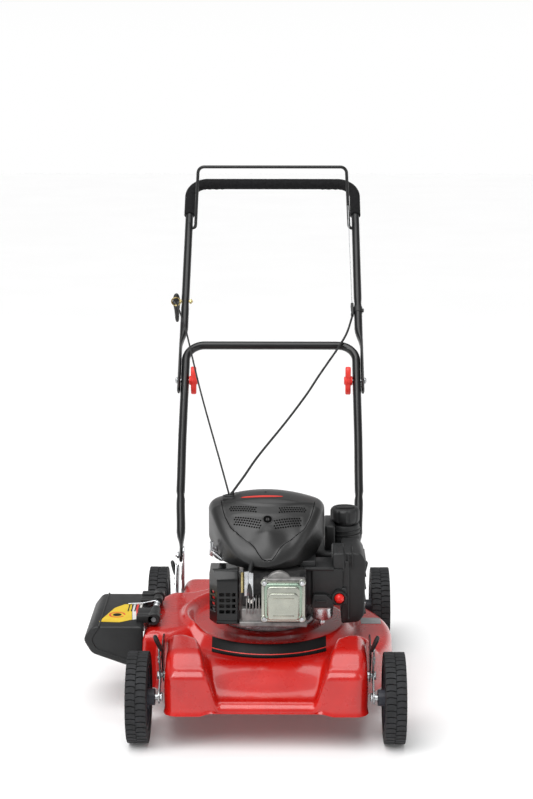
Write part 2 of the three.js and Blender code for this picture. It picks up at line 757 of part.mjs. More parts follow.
function makeCords() {
  const eye = onHandle(GUIDE_X, GUIDE_S).addScaledVector(PULL, 2.5).toArray();
  const ropeJoint = ROPE_LOWER[ROPE_LOWER.length - 1];
  const ropeStart = [ropeJoint[0] - 0.1, ropeJoint[1] + 0.6, ropeJoint[2] + 0.24];
  add('starter_rope_lower', cord(ROPE_LOWER, 2, 12, 6), BLACK_PLASTIC);
  add('starter_rope_upper', cord([ropeStart, [-222, 765, 681], eye], 2, 6, 6), BLACK_PLASTIC);

  const clampFoot = onHandle(200, CLAMP_S - 20.5, 2).toArray();
  const cableJoint = CABLE_LOWER[CABLE_LOWER.length - 1];
  const cableStart = [cableJoint[0] + 0.2, cableJoint[1] + 0.6, cableJoint[2] + 0.14];
  const upperRoute = [cableStart, [184, 735, 641], clampFoot];
  add('brake_cable_lower', cord(CABLE_LOWER, 2.6, 18, 6), BLACK_PLASTIC);
  add('brake_cable_upper', cord(upperRoute, 2.6, 8, 6), BLACK_PLASTIC);

  const clampBody = new THREE.BoxGeometry(7, 38, 12);
  clampBody.rotateX(HANDLE_ANGLE);
  clampBody.translate(...onHandle(200.2, CLAMP_S, 2).toArray());
  const screw = onHandle(0, CLAMP_S).toArray();
  const clamp = union(
    solid(clampBody),
    rod('x', 200, 226, 2.5, screw, 10),
    rod('x', 224.9, 229, 5, screw, 6),
  );
  add('cable_clamp', clamp, BLACK_PLASTIC);

  const pivot = onHandle(0, BAIL_S);
  const hook = [194, pivot.y - 5.6, pivot.z + 58];
  const clampTop = onHandle(200, CLAMP_S + 19.5, 2).toArray();
  add('bail_wire', cord([clampTop, hook], 0.9, 2, 6), ZINC);
}

// ---- engine ----

function makeEngineBlock() {
  const flange = rod('z', PLATEAU_Z + GAP, FLANGE_TOP_Z, 98, [0, 0, 0], 32);
  const crankcase = rod('z', FLANGE_TOP_Z - 1, 262, 84, [0, 0, 0], 24);
  const bearing = rod('z', 261, 332, 58, [0, 0, 0], 20);
  const barrel = box(CYLINDER_X - 38, CYLINDER_X + 38, -170, -50, 232, 306);
  const head = box(-50, 76, HEAD_Y, -170, 222, 310);
  const boss = rod('y', HEAD_Y + 3, -170, 26, [24, 0, 297], 20);
  const fins = [];
  for (let i = 0; i < 5; i += 1) {
    const y = -162 + i * 13;
    fins.push(box(-48, 78, y, y + 4, 220, 310));
  }
  const filler = rod('z', FLANGE_TOP_Z - 1, 236, 14, [...OIL_AT, 0], 14);
  const bore = rod('z', 150, 340, 12.6, [0, 0, 0], 16);
  const oilHole = rod('z', 205, 240, 9, [...OIL_AT, 0], PIN_SIDES);
  const block = union(flange, crankcase, bearing, barrel, head, boss, filler, ...fins);
  add('engine_block', block.subtract(bore).subtract(oilHole), CAST_ALUMINIUM);
}

function makeTopEnd() {
  const half = 43;
  const outline = [];
  for (const [sx, sz] of [[1, 1], [-1, 1], [-1, -1], [1, -1]]) {
    outline.push([CYLINDER_X + sx * half, CYLINDER_Z + sz * (half - 10)]);
    outline.push([CYLINDER_X + sx * (half - 10), CYLINDER_Z + sz * half]);
    if (sx * sz < 0) outline.push(outline.splice(-2, 1)[0]);
  }
  const cap = frontPrism(outline, -206, HEAD_Y - GAP);
  add('valve_cover', cap, GOLD_ZINC);

  const plug = [
    [0, -32],
    [6, -32],
    [6, -22],
    [10, -20],
    [10, -8],
    [8, -GAP],
    [0, -GAP],
  ];
  add('spark_plug', turned('y', plug, [-32, HEAD_Y, 252], PIN_SIDES), ZINC);

  const side = [
    [-172, 212],
    [-172, 306],
    [-156, 322],
    [-146, 322],
    [-140, 308],
    [-70, 308],
    [-70, 212],
  ];
  const guard = sidePlate(side, -115, -57).subtract(box(-112, -60, -169, -60, 215, 305));
  add('muffler_guard', guard, BLACK_PAINT);
  add('muffler', box(-110, -62, -160, -88, 220, 300), CAST_IRON);
}

function makeRotor() {
  const shaft = [
    [5.3, 112.3],
    [12.2, 112.3],
    [12.2, 336],
    [9, 366],
    [0, 366],
    [0, 140],
    [5.3, 140],
    [5.3, 112.3],
  ];
  add('crankshaft', turned('z', shaft, [0, 0, 0], 16), STEEL);

  const flywheel = [
    [12.8, 334],
    [30, 334],
    [34, 344],
    [76, 344],
    [76, 334],
    [86, 334],
    [86, 362],
    [12.8, 358],
    [12.8, 334],
  ];
  add('flywheel', turned('z', flywheel, [0, 0, 0], 20), CAST_IRON);

  const hub = [
    [5.4, 102.4],
    [26, 102.4],
    [26, 108],
    [19, 110],
    [19, 138],
    [12.6, 138],
    [12.6, 112],
    [5.4, 112],
    [5.4, 102.4],
  ];
  add('blade_hub', turned('z', hub, [0, 0, 0], 16), CAST_IRON);

  const half = 26;
  const reach = BLADE_RADIUS - 3;
  const bar = box(-reach, reach, -half, half, BLADE_Z, BLADE_Z + BLADE_THICKNESS);
  // The trailing edge of each tip is turned up, to lift the grass.
  const profile = [
    [half - 6, BLADE_Z + 1],
    [half - 1, BLADE_Z + 1],
    [half - 1, BLADE_Z + 16],
    [half - 4, BLADE_Z + 16],
  ];
  const wing = (side) => {
    const outline = profile.map(([y, z]) => [-side * y, z]);
    return sidePlate(outline, side * (reach - 60), side * (reach - 4));
  };
  const hole = rod('z', BLADE_Z - 2, BLADE_Z + 8, 5.4, [0, 0, 0], PIN_SIDES);
  add('blade', union(bar, wing(1), wing(-1)).subtract(hole), STEEL);

  const bolt = union(
    rod('z', 92, 136, 5, [0, 0, 0], PIN_SIDES),
    rod('z', 89, BLADE_Z - GAP, 11, [0, 0, 0], 6),
  );
  add('blade_bolt', bolt, ZINC);
}

/** Plan radius of the blower shroud: round at the back, drawn out to the front. */
const shroudOutline = (angle) => SHROUD_RADIUS + 34 * Math.max(-Math.sin(angle), 0) ** 3;

/** Height of the shroud: a low dome that falls away towards the front. */
function shroudTop(x, y) {
  const angle = Math.atan2(y, x);
  const spread = Math.hypot(x, y) / shroudOutline(angle);
  const fall = 80 * THREE.MathUtils.clamp((-40 - y) / 110, 0, 1) ** 1.4;
  return SHROUD_TOP_Z - 24 * spread ** 2 - 9 * ease(0.9, 1, spread) - fall;
}

/** Lower edge of the shroud: low at the front, raised at the sides and the back. */
function shroudRim(x, y) {
  const forward = ease(0.1, 0.6, -y / Math.hypot(x, y));
  return THREE.MathUtils.lerp(SHROUD_SIDE_RIM_Z, SHROUD_FRONT_RIM_Z, forward);
}

function makeCovers() {
  const shroud = cover({
    top: shroudTop,
    outline: shroudOutline,
    rim: shroudRim,
    fractions: [0, 0.45, 0.75, 0.9, 1],
    segments: 30,
    thickness: 3,
    hole: 6,
  }).translate([SHROUD_X, 0, 0]);
  add('blower_shroud', shroud, BLACK_PLASTIC);

  const brake = union(
    box(-100, -88, -24, 38, 336, 350),
    rod('z', 336, 350, 8, [-94, 38, 0], 12),
  );
  add('flywheel_brake', brake, STEEL);
}

function makeFuelSystem() {
  const tank = union(
    box(92, 196, 24, 150, 240, 300),
    rod('z', 299, 346, 32, [...CAP_AT, 0], 20),
    rod('z', 345, 351, 22, [...CAP_AT, 0], 16),
  );
  add('fuel_tank', tank, BLACK_PLASTIC);
  const cap = [
    [0, 351.4],
    [31, 351.4],
    [31, 374],
    [27, 379],
    [0, 381],
  ];
  add('fuel_cap', turned('z', cap, [...CAP_AT, 0], 20), BLACK_PLASTIC);

  const housing = union(
    box(90, 152, -112, -30, 256, 309),
    box(148, 198, -100, 14, 184, 336),
    box(133.6, 157, -119, -60, 229, 266),
  ).subtract(rod('y', -125, -104, 10.4, PRIMER_AT, 14));
  add('air_filter_housing', housing, BLACK_PLASTIC);

  const bulb = [
    [0, -130],
    [6, -128.5],
    [9, -124],
    [9.8, -118],
    [9.8, -112],
    [0, -112],
  ];
  add('primer_bulb', turned('y', bulb, PRIMER_AT, 14), RED_PLASTIC);

  const carburettor = union(
    box(90, 133, -120, -62, 226, 254),
    rod('z', 196, 227, 22, [111, -94, 0], 16),
    rod('z', 183, 197, 6, [111, -94, 0], 6),
  );
  add('carburettor', carburettor, CAST_ALUMINIUM);

  const oilCap = union(
    rod('z', 214, 238, 8, [...OIL_AT, 0], 12),
    rod('z', 236.3, 246, 15, [...OIL_AT, 0], 14),
    box(OIL_AT[0] - 13, OIL_AT[0] + 13, OIL_AT[1] - 3, OIL_AT[1] + 3, 245, 255),
  );
  add('oil_cap', oilCap, BLACK_PLASTIC);
}

// ---- assembly ----

makeDeck();
makeChute();
for (const [prefix, side, axleY] of WHEELS) {
  makeWheel(prefix, side, axleY);
  makeHeightLever(prefix, side, axleY);
}
makeLowerHandle();
makeUpperHandle();
makeBail();
makeHandleFasteners();
makeStarterPull();
makeCords();
makeEngineBlock();
makeTopEnd();
makeRotor();
makeCovers();
makeFuelSystem();

// Centre the whole mower on its footprint, standing on Z = 0.
const bounds = new THREE.Box3().setFromObject(model);
model.position.set(-(bounds.min.x + bounds.max.x) / 2, -(bounds.min.y + bounds.max.y) / 2, 0);

const mower = new THREE.Group();
mower.add(model);

export default mower;
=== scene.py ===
"""Push lawn mower: the visible surfaces and finishes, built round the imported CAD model.

Lengths in the making functions are millimetres in the mower's own frame: the origin is on the
ground below the crankshaft, the front faces -Y, +X is to the right and +Z is up. piece() turns
them into metres in the frame that the CAD model uses.
"""
import json
import math

import bmesh
import bpy
from mathutils import Matrix, Vector


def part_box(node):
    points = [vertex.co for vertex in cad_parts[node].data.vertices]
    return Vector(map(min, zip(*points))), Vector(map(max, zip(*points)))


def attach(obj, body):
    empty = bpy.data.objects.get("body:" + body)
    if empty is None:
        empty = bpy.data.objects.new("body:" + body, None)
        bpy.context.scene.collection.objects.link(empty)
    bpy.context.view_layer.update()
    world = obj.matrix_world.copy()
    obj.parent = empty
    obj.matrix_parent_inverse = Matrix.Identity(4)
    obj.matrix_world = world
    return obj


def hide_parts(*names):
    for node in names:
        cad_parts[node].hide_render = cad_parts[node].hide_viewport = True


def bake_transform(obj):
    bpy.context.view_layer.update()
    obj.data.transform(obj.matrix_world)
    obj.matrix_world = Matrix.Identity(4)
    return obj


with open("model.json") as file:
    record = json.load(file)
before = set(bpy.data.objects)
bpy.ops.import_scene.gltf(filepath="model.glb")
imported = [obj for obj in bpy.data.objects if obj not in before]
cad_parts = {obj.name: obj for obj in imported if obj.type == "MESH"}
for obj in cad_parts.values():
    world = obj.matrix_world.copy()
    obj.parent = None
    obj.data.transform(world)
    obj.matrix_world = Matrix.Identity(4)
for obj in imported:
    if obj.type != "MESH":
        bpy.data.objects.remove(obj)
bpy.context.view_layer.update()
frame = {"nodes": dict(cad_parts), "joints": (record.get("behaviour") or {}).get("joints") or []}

# ---- the frame, in millimetres ----

MM = 0.001
SHAFT_LOW, SHAFT_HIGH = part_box("crankshaft")
ORIGIN = Vector(((SHAFT_LOW.x + SHAFT_HIGH.x) / 2, (SHAFT_LOW.y + SHAFT_HIGH.y) / 2, 0))
JOINTS = {joint["name"]: joint for joint in frame["joints"]}


def metres(point):
    """A point of the mower's own frame, in the CAD model's frame."""
    return ORIGIN + MM * Vector(point)


def pivot(joint):
    """Where a hinge is, in the mower's own frame."""
    return (Vector(JOINTS[joint]["pos_m"]) - ORIGIN) / MM


HANDLE_ANGLE = math.radians(42)
HANDLE_PIVOT = pivot("lower_handle_fold")
PULL_ANGLE = math.radians(20)
PULL = Vector((0, math.cos(PULL_ANGLE), math.sin(PULL_ANGLE)))
HANDLE_NORMAL = Vector((0, -math.sin(HANDLE_ANGLE), math.cos(HANDLE_ANGLE)))

TUBE_RADIUS = 10
FLAT_FOOT = (4, 12.5)  # half thickness and half width of a leg's flattened foot
LOWER_END_X = 197.5  # flattened foot of the lower leg
LOWER_LEG_X = 206.5
UPPER_END_X = 220.8  # flattened foot of the upper leg
UPPER_LEG_X = 214.5
GUIDE_X = -238
# Distances along the handle from its lower pivot.
CROSSBAR_S = 596
CLAMP_S = 707
GUIDE_S = 735
GRIP_START_S = 1022
GRIP_S = 1134

WHEEL_RADIUS = 89
LEVER_X = 208
DECK_FRONT_HALF = 195.5
DECK_REAR_HALF = 189.5
DECK_RADIUS = 258
DECK_FRONT_Y = -315
DECK_REAR_Y = 300
PLATEAU_Z = 168  # the engine's seat
CHANNEL_Z = 143  # the channel round it
SKIN = 2.6  # thickness of the deck's sheet and of the shroud's wall
HINGE = pivot("chute_flap")
CHUTE_TOP_Z = 187

SHROUD_X = -4.5
SHROUD_RADIUS = 117
SHROUD_TOP_Z = 439.5
CYLINDER_X = 31
CYLINDER_Z = 268
HEAD_Y = -185
CAP_AT = pivot("fuel_cap_turn")


def on_handle(x, s, n=0.0):
    """A point on the handle: sideways, along it from the lower pivot, and above its plane."""
    cosine, sine = math.cos(HANDLE_ANGLE), math.sin(HANDLE_ANGLE)
    y = HANDLE_PIVOT.y + s * cosine - n * sine
    z = HANDLE_PIVOT.z + s * sine + n * cosine
    return Vector((x, y, z))


# ---- small mathematics ----

def lerp(a, b, share):
    """The value at a share of the way from a to b."""
    return a + (b - a) * share


def clamp(value, low=0.0, high=1.0):
    """The value, kept between two limits."""
    return max(low, min(high, value))


def ease(a, b, value):
    """Smooth step from 0 at a to 1 at b."""
    t = clamp((value - a) / (b - a))
    return t * t * (3 - 2 * t)


def angles_round(count, shift=0.0):
    """Equal steps of a full turn, in radians, from a shift of so many steps."""
    return [2 * math.pi * (k + shift) / count for k in range(count)]


def polar(centre, radius, degrees):
    """A point round a centre in a plane."""
    angle = math.radians(degrees)
    return (centre[0] + radius * math.cos(angle), centre[1] + radius * math.sin(angle))


def arc(centre, radius, start, end, steps):
    """Points on an arc, with angles in degrees."""
    return [polar(centre, radius, lerp(start, end, i / steps)) for i in range(steps + 1)]


def quarter_turn(x, height, bend, steps):
    """Points round a corner, from upright at x to level at the height."""
    points = []
    for k in range(steps + 1):
        angle = math.pi / 2 * k / steps
        points.append((x + bend * (1 - math.cos(angle)), height - bend + bend * math.sin(angle)))
    return points


def soften(points, radius, steps=4, closed=True):
    """A line or outline with each corner replaced by a short curve."""
    result = []
    last = len(points) - 1
    for i, point in enumerate(points):
        corner = Vector(point)
        if not closed and i in (0, last):
            result.append(tuple(corner))
            continue
        before = Vector(points[i - 1]) - corner
        after = Vector(points[(i + 1) % len(points)]) - corner
        reach = min(radius, 0.48 * before.length, 0.48 * after.length)
        start = corner + before.normalized() * reach
        end = corner + after.normalized() * reach
        for k in range(steps + 1):
            t = k / steps
            result.append(tuple(start * (1 - t) ** 2 + corner * 2 * t * (1 - t) + end * t * t))
    return result


def smooth_route(points, steps):
    """A curve through given points, with steps stretches between each two."""
    knots = [Vector(point) for point in points]
    knots = [2 * knots[0] - knots[1]] + knots + [2 * knots[-1] - knots[-2]]
    route = []
    for p0, p1, p2, p3 in zip(knots, knots[1:], knots[2:], knots[3:]):
        for k in range(steps):
            t = k / steps
            turn = (p2 - p0) * t + (2 * p0 - 5 * p1 + 4 * p2 - p3) * t * t
            turn += (3 * p1 - p0 - 3 * p2 + p3) * t ** 3
            route.append(p1 + turn / 2)
    route.append(knots[-2])
    return route


def helix(start, end, across, up, turns, per_turn, phase=0.0):
    """A coil's route from start to end. across and up are the radii that it turns between."""
    count = round(turns * per_turn)
    start, end, across, up = Vector(start), Vector(end), Vector(across), Vector(up)
    route = []
    for k in range(count + 1):
        angle = 2 * math.pi * k / per_turn + phase
        centre = start.lerp(end, k / count)
        route.append(centre + across * math.cos(angle) + up * math.sin(angle))
    return route


# ---- shapes ----

# For each axis: the two coordinates across it, and the one along it.
AXES = {"x": (1, 2, 0), "y": (0, 2, 1), "z": (0, 1, 2)}


def skin(rows, wrap=True, close=False, capped=False):
    """Faces between rows of points.

    wrap joins each row's ends, close joins the last row to the first, and capped fills both.
    """
    shape = bmesh.new()
    rings = [[shape.verts.new(point) for point in row] for row in rows]
    count = len(rows[0])
    followers = rings[1:] + rings[:1] if close else rings[1:]
    for first, second in zip(rings, followers):
        for i in range(count if wrap else count - 1):
            j = (i + 1) % count
            shape.faces.new((first[i], first[j], second[j], second[i]))
    if capped:
        shape.faces.new(rings[0])
        shape.faces.new(rings[-1])
    bmesh.ops.remove_doubles(shape, verts=shape.verts, dist=1e-4)
    bmesh.ops.recalc_face_normals(shape, faces=shape.faces)
    return shape


def round_edges(shape, edges, bevel, segments):
    """Roll some edges of a shape over a radius."""
    settings = dict(offset=bevel, segments=segments, profile=0.5, affect="EDGES")
    bmesh.ops.bevel(shape, geom=edges, clamp_overlap=True, **settings)


def block(low, high, bevel=1.0, segments=2):
    """A box between two corners, with rounded edges."""
    shape = bmesh.new()
    bmesh.ops.create_cube(shape, size=1)
    low, high = Vector(low), Vector(high)
    for vertex in shape.verts:
        share = vertex.co + Vector((0.5, 0.5, 0.5))
        vertex.co = [lerp(low[i], high[i], share[i]) for i in range(3)]
    round_edges(shape, shape.edges[:], bevel, segments)
    return shape


def prism(outline, axis, start, end, bevel=0.6, segments=2):
    """An outline drawn out along an axis, with rounded rims."""
    u, v, w = AXES[axis]
    rows = []
    for level in (start, end):
        row = []
        for a, b in outline:
            point = [0.0, 0.0, 0.0]
            point[u], point[v], point[w] = a, b, level
            row.append(point)
        rows.append(row)
    shape = skin(rows, capped=True)
    if bevel:
        ends = [face for face in shape.faces if abs(face.normal[w]) > 0.99]
        rim = {edge for face in ends for edge in face.edges}
        round_edges(shape, list(rim), bevel, segments)
    return shape


def lathe(profile, axis, at=(0, 0, 0), sides=32, close=False):
    """A turned shape. The profile's (radius, height) points go round an axis through at."""
    u, v, w = AXES[axis]
    rows = []
    for radius, height in profile:
        row = []
        for angle in angles_round(sides):
            point = list(at)
            point[u] += radius * math.cos(angle)
            point[v] += radius * math.sin(angle)
            point[w] = at[w] + height
            row.append(point)
        rows.append(row)
    return skin(rows, close=close)


def rod(axis, start, end, radius, at, sides=24, bevel=0.6):
    """A round bar along an axis with eased ends."""
    low, high = min(start, end), max(start, end)
    profile = [(0, low), (radius - bevel, low), (radius, low + bevel)]
    profile += [(radius, high - bevel), (radius - bevel, high), (0, high)]
    centre = list(at)
    centre[AXES[axis][2]] = 0
    return lathe(profile, axis, centre, sides)


def sweep(stations, sides, normal=None):
    """A bar along a path. Each station is (point, across) or (point, across, along)."""
    points = [Vector(station[0]) for station in stations]
    last = len(points) - 1
    rows = []
    up = Vector(normal) if normal else None
    for i, station in enumerate(stations):
        tangent = (points[min(i + 1, last)] - points[max(i - 1, 0)]).normalized()
        if up is None:
            up = tangent.orthogonal()
        facing = Vector(normal) if normal else up
        up = (facing - facing.dot(tangent) * tangent).normalized()
        side = tangent.cross(up)
        across, along = station[1], station[-1]
        row = []
        for angle in angles_round(sides, 0.5):
            row.append(points[i] + side * (across * math.cos(angle)) + up * (along * math.sin(angle)))
        rows.append(row)
    return skin(rows, capped=True)


def tube(route, radius, sides, normal=None):
    """A round bar of one radius along a route."""
    return sweep([(point, radius) for point in route], sides, normal)


def add_object(name, data):
    """A new object in the scene, with its mesh, light or camera."""
    made = bpy.data.objects.new(name, data)
    bpy.context.scene.collection.objects.link(made)
    return made


def carve(shape, cutter):
    """A shape with another one cut away."""
    things = []
    for part in (shape, cutter):
        mesh = bpy.data.meshes.new("scratch")
        part.to_mesh(mesh)
        part.free()
        things.append(add_object("scratch", mesh))
    modifier = things[0].modifiers.new("carve", "BOOLEAN")
    modifier.object = things[1]
    modifier.operation = "DIFFERENCE"
    modifier.solver = "EXACT"
    evaluated = things[0].evaluated_get(bpy.context.evaluated_depsgraph_get())
    result = bmesh.new()
    result.from_mesh(evaluated.to_mesh())
    evaluated.to_mesh_clear()
    for thing in things:
        mesh = thing.data
        bpy.data.objects.remove(thing)
        bpy.data.meshes.remove(mesh)
    return result


def joined(*shapes):
    """Several shapes in one bmesh."""
    whole = bmesh.new()
    for shape in shapes:
        scratch = bpy.data.meshes.new("scratch")
        shape.to_mesh(scratch)
        shape.free()
        whole.from_mesh(scratch)
        bpy.data.meshes.remove(scratch)
    return whole


def painted(shape, number):
    """A shape whose faces all use the piece's material of that number."""
    for face in shape.faces:
        face.material_index = number
    return shape


def turned(shape, matrix):
    """A shape after a turn or a move."""
    shape.transform(matrix)
    return shape


def place_turn(point, degrees):
    """A move to a point after a turn about the vertical."""
    return Matrix.Translation(point) @ Matrix.Rotation(math.radians(degrees), 4, "Z")


def sticker(columns, rows, place, thickness=0.5):
    """A thin label. place(u, v) gives its points for shares from 0 to 1 across and down."""
    grid = [[place(i / columns, j / rows) for i in range(columns + 1)] for j in range(rows + 1)]
    shape = skin(grid, wrap=False)
    bmesh.ops.solidify(shape, geom=shape.faces[:], thickness=thickness)
    return shape


def piece(name, shape, materials, body, replaces=(), sharp=35):
    """One named object of the model, in metres.

    It rides on its body when body is a name. Given (first, second, start point, end point), it stays where
    it is made; those bodies and points are not used.
    Edges bent by more than sharp degrees stay sharp.
    """
    bmesh.ops.recalc_face_normals(shape, faces=shape.faces)
    shape.transform(Matrix.Translation(ORIGIN) @ Matrix.Scale(MM, 4))
    mesh = bpy.data.meshes.new(name)
    shape.to_mesh(mesh)
    shape.free()
    for material in materials:
        mesh.materials.append(material)
    mesh.shade_smooth()
    mesh.set_sharp_from_angle(angle=math.radians(sharp))
    made = add_object(name, mesh)
    if isinstance(body, str):
        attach(made, body)
    else:
        low, high, start, end = body
        metres(start)
        metres(end)
        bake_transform(made)
    if replaces:
        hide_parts(*replaces)
    return made


# ---- finishes ----

def linear(red, green, blue):
    """A linear colour from 0 to 255 display values."""
    def channel(value):
        share = value / 255
        return share / 12.92 if share <= 0.04045 else ((share + 0.055) / 1.055) ** 2.4
    return (channel(red), channel(green), channel(blue), 1.0)


def noise_node(tree, coordinates, scale, detail, roughness):
    """Noise on the object's own coordinates."""
    node = tree.nodes.new("ShaderNodeTexNoise")
    node.inputs["Scale"].default_value = scale
    node.inputs["Detail"].default_value = detail
    node.inputs["Roughness"].default_value = roughness
    tree.links.new(coordinates.outputs["Object"], node.inputs["Vector"])
    return node


COAT_ROUGHNESS = 0.06
MOTTLE_STOPS = (0.35, 0.65)  # noise levels of the dark and the light colour
WEAR_SCALE = 3.7  # the roughness noise is finer than the colour noise by this much


def finish(name, dark, light, rough, metallic=0.0, mottle=25.0, relief=700.0, depth=0.00006,
           strength=0.35, coat=0.0, specular=0.5):
    """A finish with mottled colour, uneven roughness and fine relief.

    mottle and relief are the scales of the colour's and the relief's noise, and depth is the
    relief's height in metres.
    """
    material = bpy.data.materials.new(name)
    material.use_nodes = True
    tree = material.node_tree
    shader = tree.nodes["Principled BSDF"]
    shader.inputs["Metallic"].default_value = metallic
    shader.inputs["Specular IOR Level"].default_value = specular
    shader.inputs["Coat Weight"].default_value = coat
    shader.inputs["Coat Roughness"].default_value = COAT_ROUGHNESS
    coordinates = tree.nodes.new("ShaderNodeTexCoord")

    cloud = noise_node(tree, coordinates, mottle, 5.0, 0.6)
    ramp = tree.nodes.new("ShaderNodeValToRGB")
    for stop, position, colour in zip(ramp.color_ramp.elements, MOTTLE_STOPS, (dark, light)):
        stop.position = position
        stop.color = linear(*colour)
    tree.links.new(cloud.outputs["Fac"], ramp.inputs["Fac"])
    tree.links.new(ramp.outputs["Color"], shader.inputs["Base Color"])

    wear = noise_node(tree, coordinates, mottle * WEAR_SCALE, 4.0, 0.55)
    spread = tree.nodes.new("ShaderNodeMapRange")
    spread.inputs["To Min"].default_value = rough[0]
    spread.inputs["To Max"].default_value = rough[1]
    tree.links.new(wear.outputs["Fac"], spread.inputs["Value"])
    tree.links.new(spread.outputs["Result"], shader.inputs["Roughness"])

    grain = noise_node(tree, coordinates, relief, 2.0, 0.5)
    bump = tree.nodes.new("ShaderNodeBump")
    bump.inputs["Strength"].default_value = strength
    bump.inputs["Distance"].default_value = depth
    tree.links.new(grain.outputs["Fac"], bump.inputs["Height"])
    tree.links.new(bump.outputs["Normal"], shader.inputs["Normal"])
    return material


RED_PAINT = finish("red_paint", (172, 13, 8), (194, 22, 13), (0.22, 0.34), mottle=9.0, relief=220.0,
                   depth=0.00004, strength=0.06, coat=0.5)
BLACK_PAINT = finish("black_paint", (9, 10, 11), (16, 17, 18), (0.26, 0.38), mottle=20.0,
                     relief=500.0, strength=0.15, coat=0.25, specular=0.3)
BLACK_PLASTIC = finish("black_plastic", (14, 15, 16), (23, 24, 25), (0.42, 0.58), relief=1600.0,
                       depth=0.0001, strength=0.35)
SHROUD_PLASTIC = finish("shroud_plastic", (23, 23, 23), (31, 31, 31), (0.33, 0.43), mottle=12.0,
                        relief=1900.0, depth=0.00008, strength=0.3)
WHEEL_PLASTIC = finish("wheel_plastic", (44, 46, 54), (58, 60, 70), (0.4, 0.55), mottle=30.0,
                       relief=1500.0, strength=0.3)
# Near black with little gloss: painted shade for the vents, the screw's recess and the seam's gap.
PAINTED_HOLE_SHADE = finish("painted_recess_shade", (1, 1, 1), (4, 4, 4), (0.8, 0.95), relief=900.0, specular=0.1)
RED_PLASTIC = finish("red_plastic", (205, 38, 30), (222, 54, 42), (0.35, 0.5), mottle=45.0)
RED_RUBBER = finish("bulb_rubber", (206, 24, 20), (226, 40, 32), (0.3, 0.42), mottle=60.0)
RUBBER = finish("tyre_rubber", (15, 16, 18), (30, 31, 34), (0.62, 0.85), mottle=60.0, relief=1300.0,
                depth=0.00012, strength=0.5)
FOAM = finish("foam", (16, 16, 17), (27, 27, 28), (0.85, 0.97), mottle=180.0, relief=2300.0,
              depth=0.0003, strength=0.8, specular=0.2)
ZINC = finish("zinc_plate", (168, 170, 172), (206, 208, 210), (0.2, 0.38), metallic=1.0, mottle=70.0)
COVER_ZINC = finish("cover_zinc", (146, 150, 142), (176, 177, 166), (0.2, 0.3), metallic=0.95,
                    mottle=16.0, relief=300.0, strength=0.12)
# Darker, greener zinc for the cover's middle step: the plating's green tint, and painted shade on the
# step.
COVER_TINT_AND_SHADE = finish("cover_green_zinc_and_shade", (126, 146, 132), (156, 172, 156), (0.22, 0.32),
                     metallic=0.9, mottle=16.0, strength=0.12)
GOLD_ZINC = finish("yellow_zinc", (150, 134, 90), (190, 176, 130), (0.2, 0.36), metallic=1.0,
                   mottle=28.0, relief=300.0, strength=0.12)
CAST_ALUMINIUM = finish("cast_aluminium", (104, 103, 103), (142, 140, 138), (0.45, 0.65),
                        metallic=0.75, mottle=50.0, relief=850.0, depth=0.0002, strength=0.6)
# Dark iron: the own finish of the flywheel, blade hub, muffler and screw, and painted shade on the
# engine's fins.
CAST_IRON_AND_SHADE = finish("cast_iron", (44, 44, 46), (74, 73, 72), (0.5, 0.7), metallic=0.8, mottle=60.0,
                   relief=900.0, depth=0.0002, strength=0.6)
STEEL = finish("bright_steel", (120, 121, 124), (168, 169, 172), (0.22, 0.4), metallic=1.0,
               mottle=45.0, relief=500.0, strength=0.2)
CORD_BLACK = finish("cord_black", (14, 14, 15), (30, 30, 31), (0.5, 0.7), mottle=300.0,
                    relief=2500.0, depth=0.0002, strength=0.7)
LABEL_BLACK = finish("label_black", (5, 5, 6), (9, 9, 10), (0.5, 0.6), mottle=15.0, strength=0.05,
                     specular=0.25)
FLANGE_ALUMINIUM = finish("machined_aluminium", (176, 175, 172), (206, 205, 202), (0.35, 0.5),
                          metallic=0.4, mottle=40.0)
LABEL_SILVER = finish("label_silver", (138, 140, 142), (176, 177, 178), (0.35, 0.5), metallic=0.5)
LABEL_YELLOW = finish("label_yellow", (214, 178, 20), (228, 194, 36), (0.35, 0.5), mottle=40.0)
LABEL_WHITE = finish("label_white", (206, 204, 198), (226, 225, 221), (0.4, 0.55), mottle=40.0)


# ---- camera, floor and lights ----

CAMERA_DISTANCE = 3.4432  # from the crankshaft's plane, in metres
CAMERA_HEIGHT = 1.345
CAMERA_SIDE = 0.0383
CAMERA_PITCH = 0.2049  # looking down, in radians
CAMERA_YAW = 0.0119
CAMERA_LENS = 78.0  # millimetres, for a sensor 36 mm wide
SENSOR_WIDTH = 36.0
FLOOR_REACH = 14.0  # from its middle to its sides, in metres
SUN_STRENGTH = 2.35
SUN_SPREAD = 50  # degrees, for soft shadows
SUN_TILT = (28, -16)  # degrees from overhead, to the front and to the left
FLOOR_GLOW = 0.05
# Softboxes: name, place, target, width and height in metres, and power in watts.
SOFTBOXES = (
    ("left_softbox", (-2.3, -2.2, 2.0), (0, -0.3, 0.3), (0.7, 1.8), 20),
    ("right_softbox", (2.5, -1.8, 1.9), (0, -0.3, 0.3), (0.5, 1.8), 8),
    ("top_softbox", (0.0, 0.4, 2.9), (0, -0.2, 0.3), (2.0, 0.9), 14),
)


def make_camera():
    """The photograph's point of view: in front, a little above, looking down."""
    data = bpy.data.cameras.new("camera")
    data.lens = CAMERA_LENS
    data.sensor_fit = "AUTO"
    data.sensor_width = SENSOR_WIDTH
    camera = add_object("camera", data)
    camera.location = ORIGIN + Vector((CAMERA_SIDE, -CAMERA_DISTANCE, CAMERA_HEIGHT))
    camera.rotation_euler = (math.pi / 2 - CAMERA_PITCH, 0, CAMERA_YAW)
    bpy.context.scene.camera = camera


def make_softbox(name, place, target, size, power):
    """A rectangular light that faces its target."""
    data = bpy.data.lights.new(name, "AREA")
    data.shape = "RECTANGLE"
    data.size, data.size_y = size
    data.energy = power
    light = add_object(name, data)
    light.location = place
    light.rotation_euler = (Vector(target) - Vector(place)).to_track_quat("-Z", "Y").to_euler()


